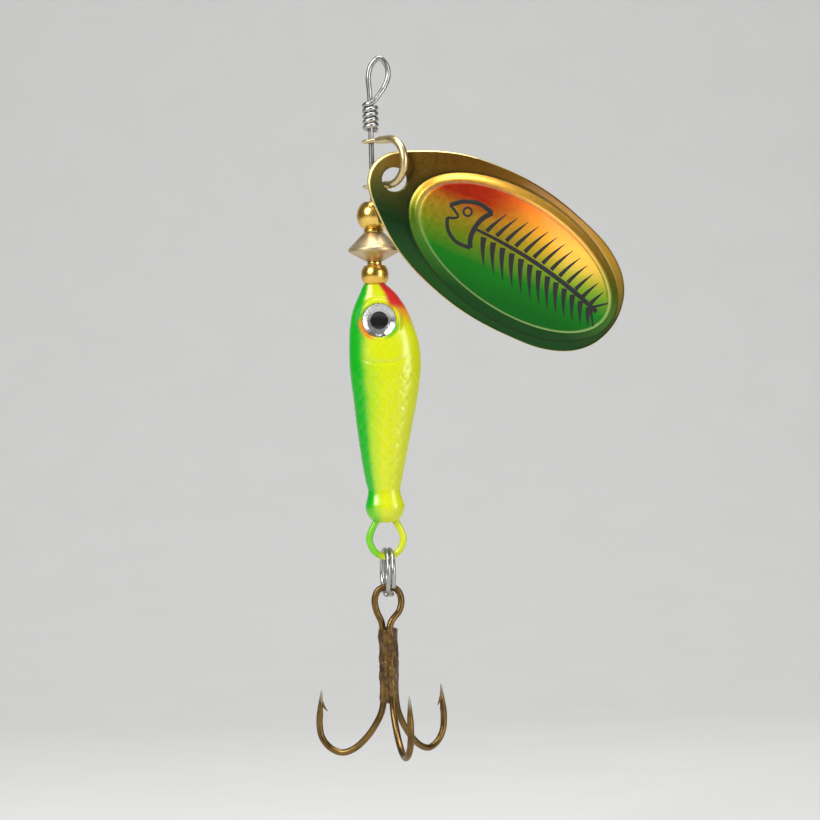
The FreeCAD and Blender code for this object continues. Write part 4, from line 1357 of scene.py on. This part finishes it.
# ------------------------------------------------------------------- stage
@dataclass
class Studio:
    """Pale floor and sweep, soft lights and the camera."""

    floor_drop: float = 0.020
    distance: float = 0.450
    lens: float = 131.7
    aim: Vector = field(default_factory=lambda: Vector((0.0047, 0, -0.0525)))
    roll: float = 1.6

    def floor(self) -> None:
        """Floor that curves up into a backdrop."""
        low = CAD_BOX[0].z - self.floor_drop
        bm = bmesh.new()
        profile = [(-1.2, 0.0), (0.25, 0.0)]
        profile += [(0.25 + 0.35 * math.sin(a), 0.35 * (1 - math.cos(a)))
                    for a in np.linspace(0.05, math.pi / 2, 16)]
        profile += [(0.60, 1.4)]
        verts = [bm.verts.new((-1.6, y, low + z)) for y, z in profile]
        edges = [bm.edges.new(pair) for pair in zip(verts, verts[1:])]
        wide = bmesh.ops.extrude_edge_only(bm, edges=edges)
        bmesh.ops.translate(bm, vec=(3.2, 0, 0),
                            verts=[g for g in wide["geom"] if isinstance(g, bmesh.types.BMVert)])
        piece = finish_mesh(bm, "studio_sweep")
        material, t, shader = new_material("studio_paper")
        tooth = t.noise(t.here(), 60.0, 4.0)
        t.link(t.mix(tooth, (0.62, 0.62, 0.61), (0.66, 0.66, 0.65)), shader.inputs["Base Color"])
        t.settle(shader, Roughness=0.9)
        piece.data.materials.append(material)

    def light(self, name: str, at: Rgb, size: tuple[float, float], power: float) -> None:
        """A soft box aimed at the middle of the lure."""
        data = bpy.data.lights.new(name, "AREA")
        data.shape, data.size, data.size_y, data.energy = "RECTANGLE", *size, power
        lamp = bpy.data.objects.new(name, data)
        lamp.location = at
        lamp.rotation_mode = "QUATERNION"
        lamp.rotation_quaternion = (self.aim - Vector(at)).to_track_quat("-Z", "Y")
        bpy.context.scene.collection.objects.link(lamp)

    def build(self) -> None:
        """Set up floor, world, lights and camera."""
        self.floor()
        world = bpy.data.worlds.new("studio")
        bpy.context.scene.world = world
        world.use_nodes = True
        sky = world.node_tree.nodes["Background"].inputs
        sky[0].default_value = (0.80, 0.82, 0.85, 1)
        sky[1].default_value = 0.16
        bpy.context.scene.view_settings.view_transform = "Standard"
        self.light("key_box", (-0.38, -0.42, 0.30), (0.30, 0.40), 3.6)
        self.light("fill_box", (0.45, -0.40, 0.05), (0.20, 0.45), 1.5)
        self.light("top_box", (0.05, -0.05, 0.50), (0.40, 0.30), 3.0)
        self.camera()

    def camera(self) -> None:
        """Level camera with the slight roll of the hanging lure."""
        data = bpy.data.cameras.new("camera")
        data.lens, data.sensor_width = self.lens, 36.0
        data.clip_start, data.clip_end = 0.01, 10.0
        camera = bpy.data.objects.new("camera", data)
        r = math.radians(self.roll)
        right, up, back = (Vector((math.cos(r), 0, -math.sin(r))),
                           Vector((math.sin(r), 0, math.cos(r))), Vector((0, -1, 0)))
        turn = Matrix((right, up, back)).transposed().to_4x4()
        camera.matrix_world = Matrix.Translation(self.aim + back * self.distance) @ turn
        bpy.context.scene.collection.objects.link(camera)
        bpy.context.scene.camera = camera


# -------------------------------------------------------------------- main
def build_blade() -> None:
    """The blade and its print."""
    blade = Blade()
    seat(blade.build(), LacquerFinish().build(), "blade", "lacquer", "blade")
    seat(FishPrint(blade).build(), InkFinish().build(), "blade", "black_ink")


def build_beads() -> None:
    """The five beads on the shaft."""
    for side in ("upper", "lower"):
        ball = Bead(side + "_ball", Metal.BEAD, "bead_brass")
        ball.build(ball.ball(), 0.0)
        collar = Bead(side + "_washer", Metal.BEAD, "bead_brass")
        collar.build(collar.washer(), 0.09)
    cone = Bead("double_cone", Metal.CONE, "pale_brass")
    cone.build(cone.cone(3.1, 2.4, 2.35, 0.45), 0.07)


def build_body() -> None:
    """The painted casting, the paint on the tail eye and the two eyes."""
    paint = MinnowPaint().build()
    seat(Minnow().build(), paint, "body", "body_paint", "body_casting")
    seat(TailPaint().build(), paint, "body", "body_paint")
    foil, ink, clear = (kind().build() for kind in (FoilFinish, PupilFinish, EpoxyFinish))
    for side, sign in (("front", -1), ("back", 1)):
        Eye(side, sign).build(foil, ink, clear)


def build_wires() -> None:
    """The shaft wire, clevis, split ring and treble."""
    steel = Metal.STAINLESS.material()
    seat(ShaftWire().build(), steel, "body", "stainless", "shaft_wire")
    seat(Clevis().build(), Metal.CLEVIS.material(), "clevis", "pale_brass", "clevis")
    seat(SplitRing().build(), steel, "split_ring", "stainless", "split_ring")
    Treble().build()


def main() -> None:
    """Build every sub-assembly in order."""
    Studio().build()
    build_blade()
    build_beads()
    build_body()
    build_wires()


if __name__ == "__main__":
    logging.basicConfig(level=logging.INFO)
    main()
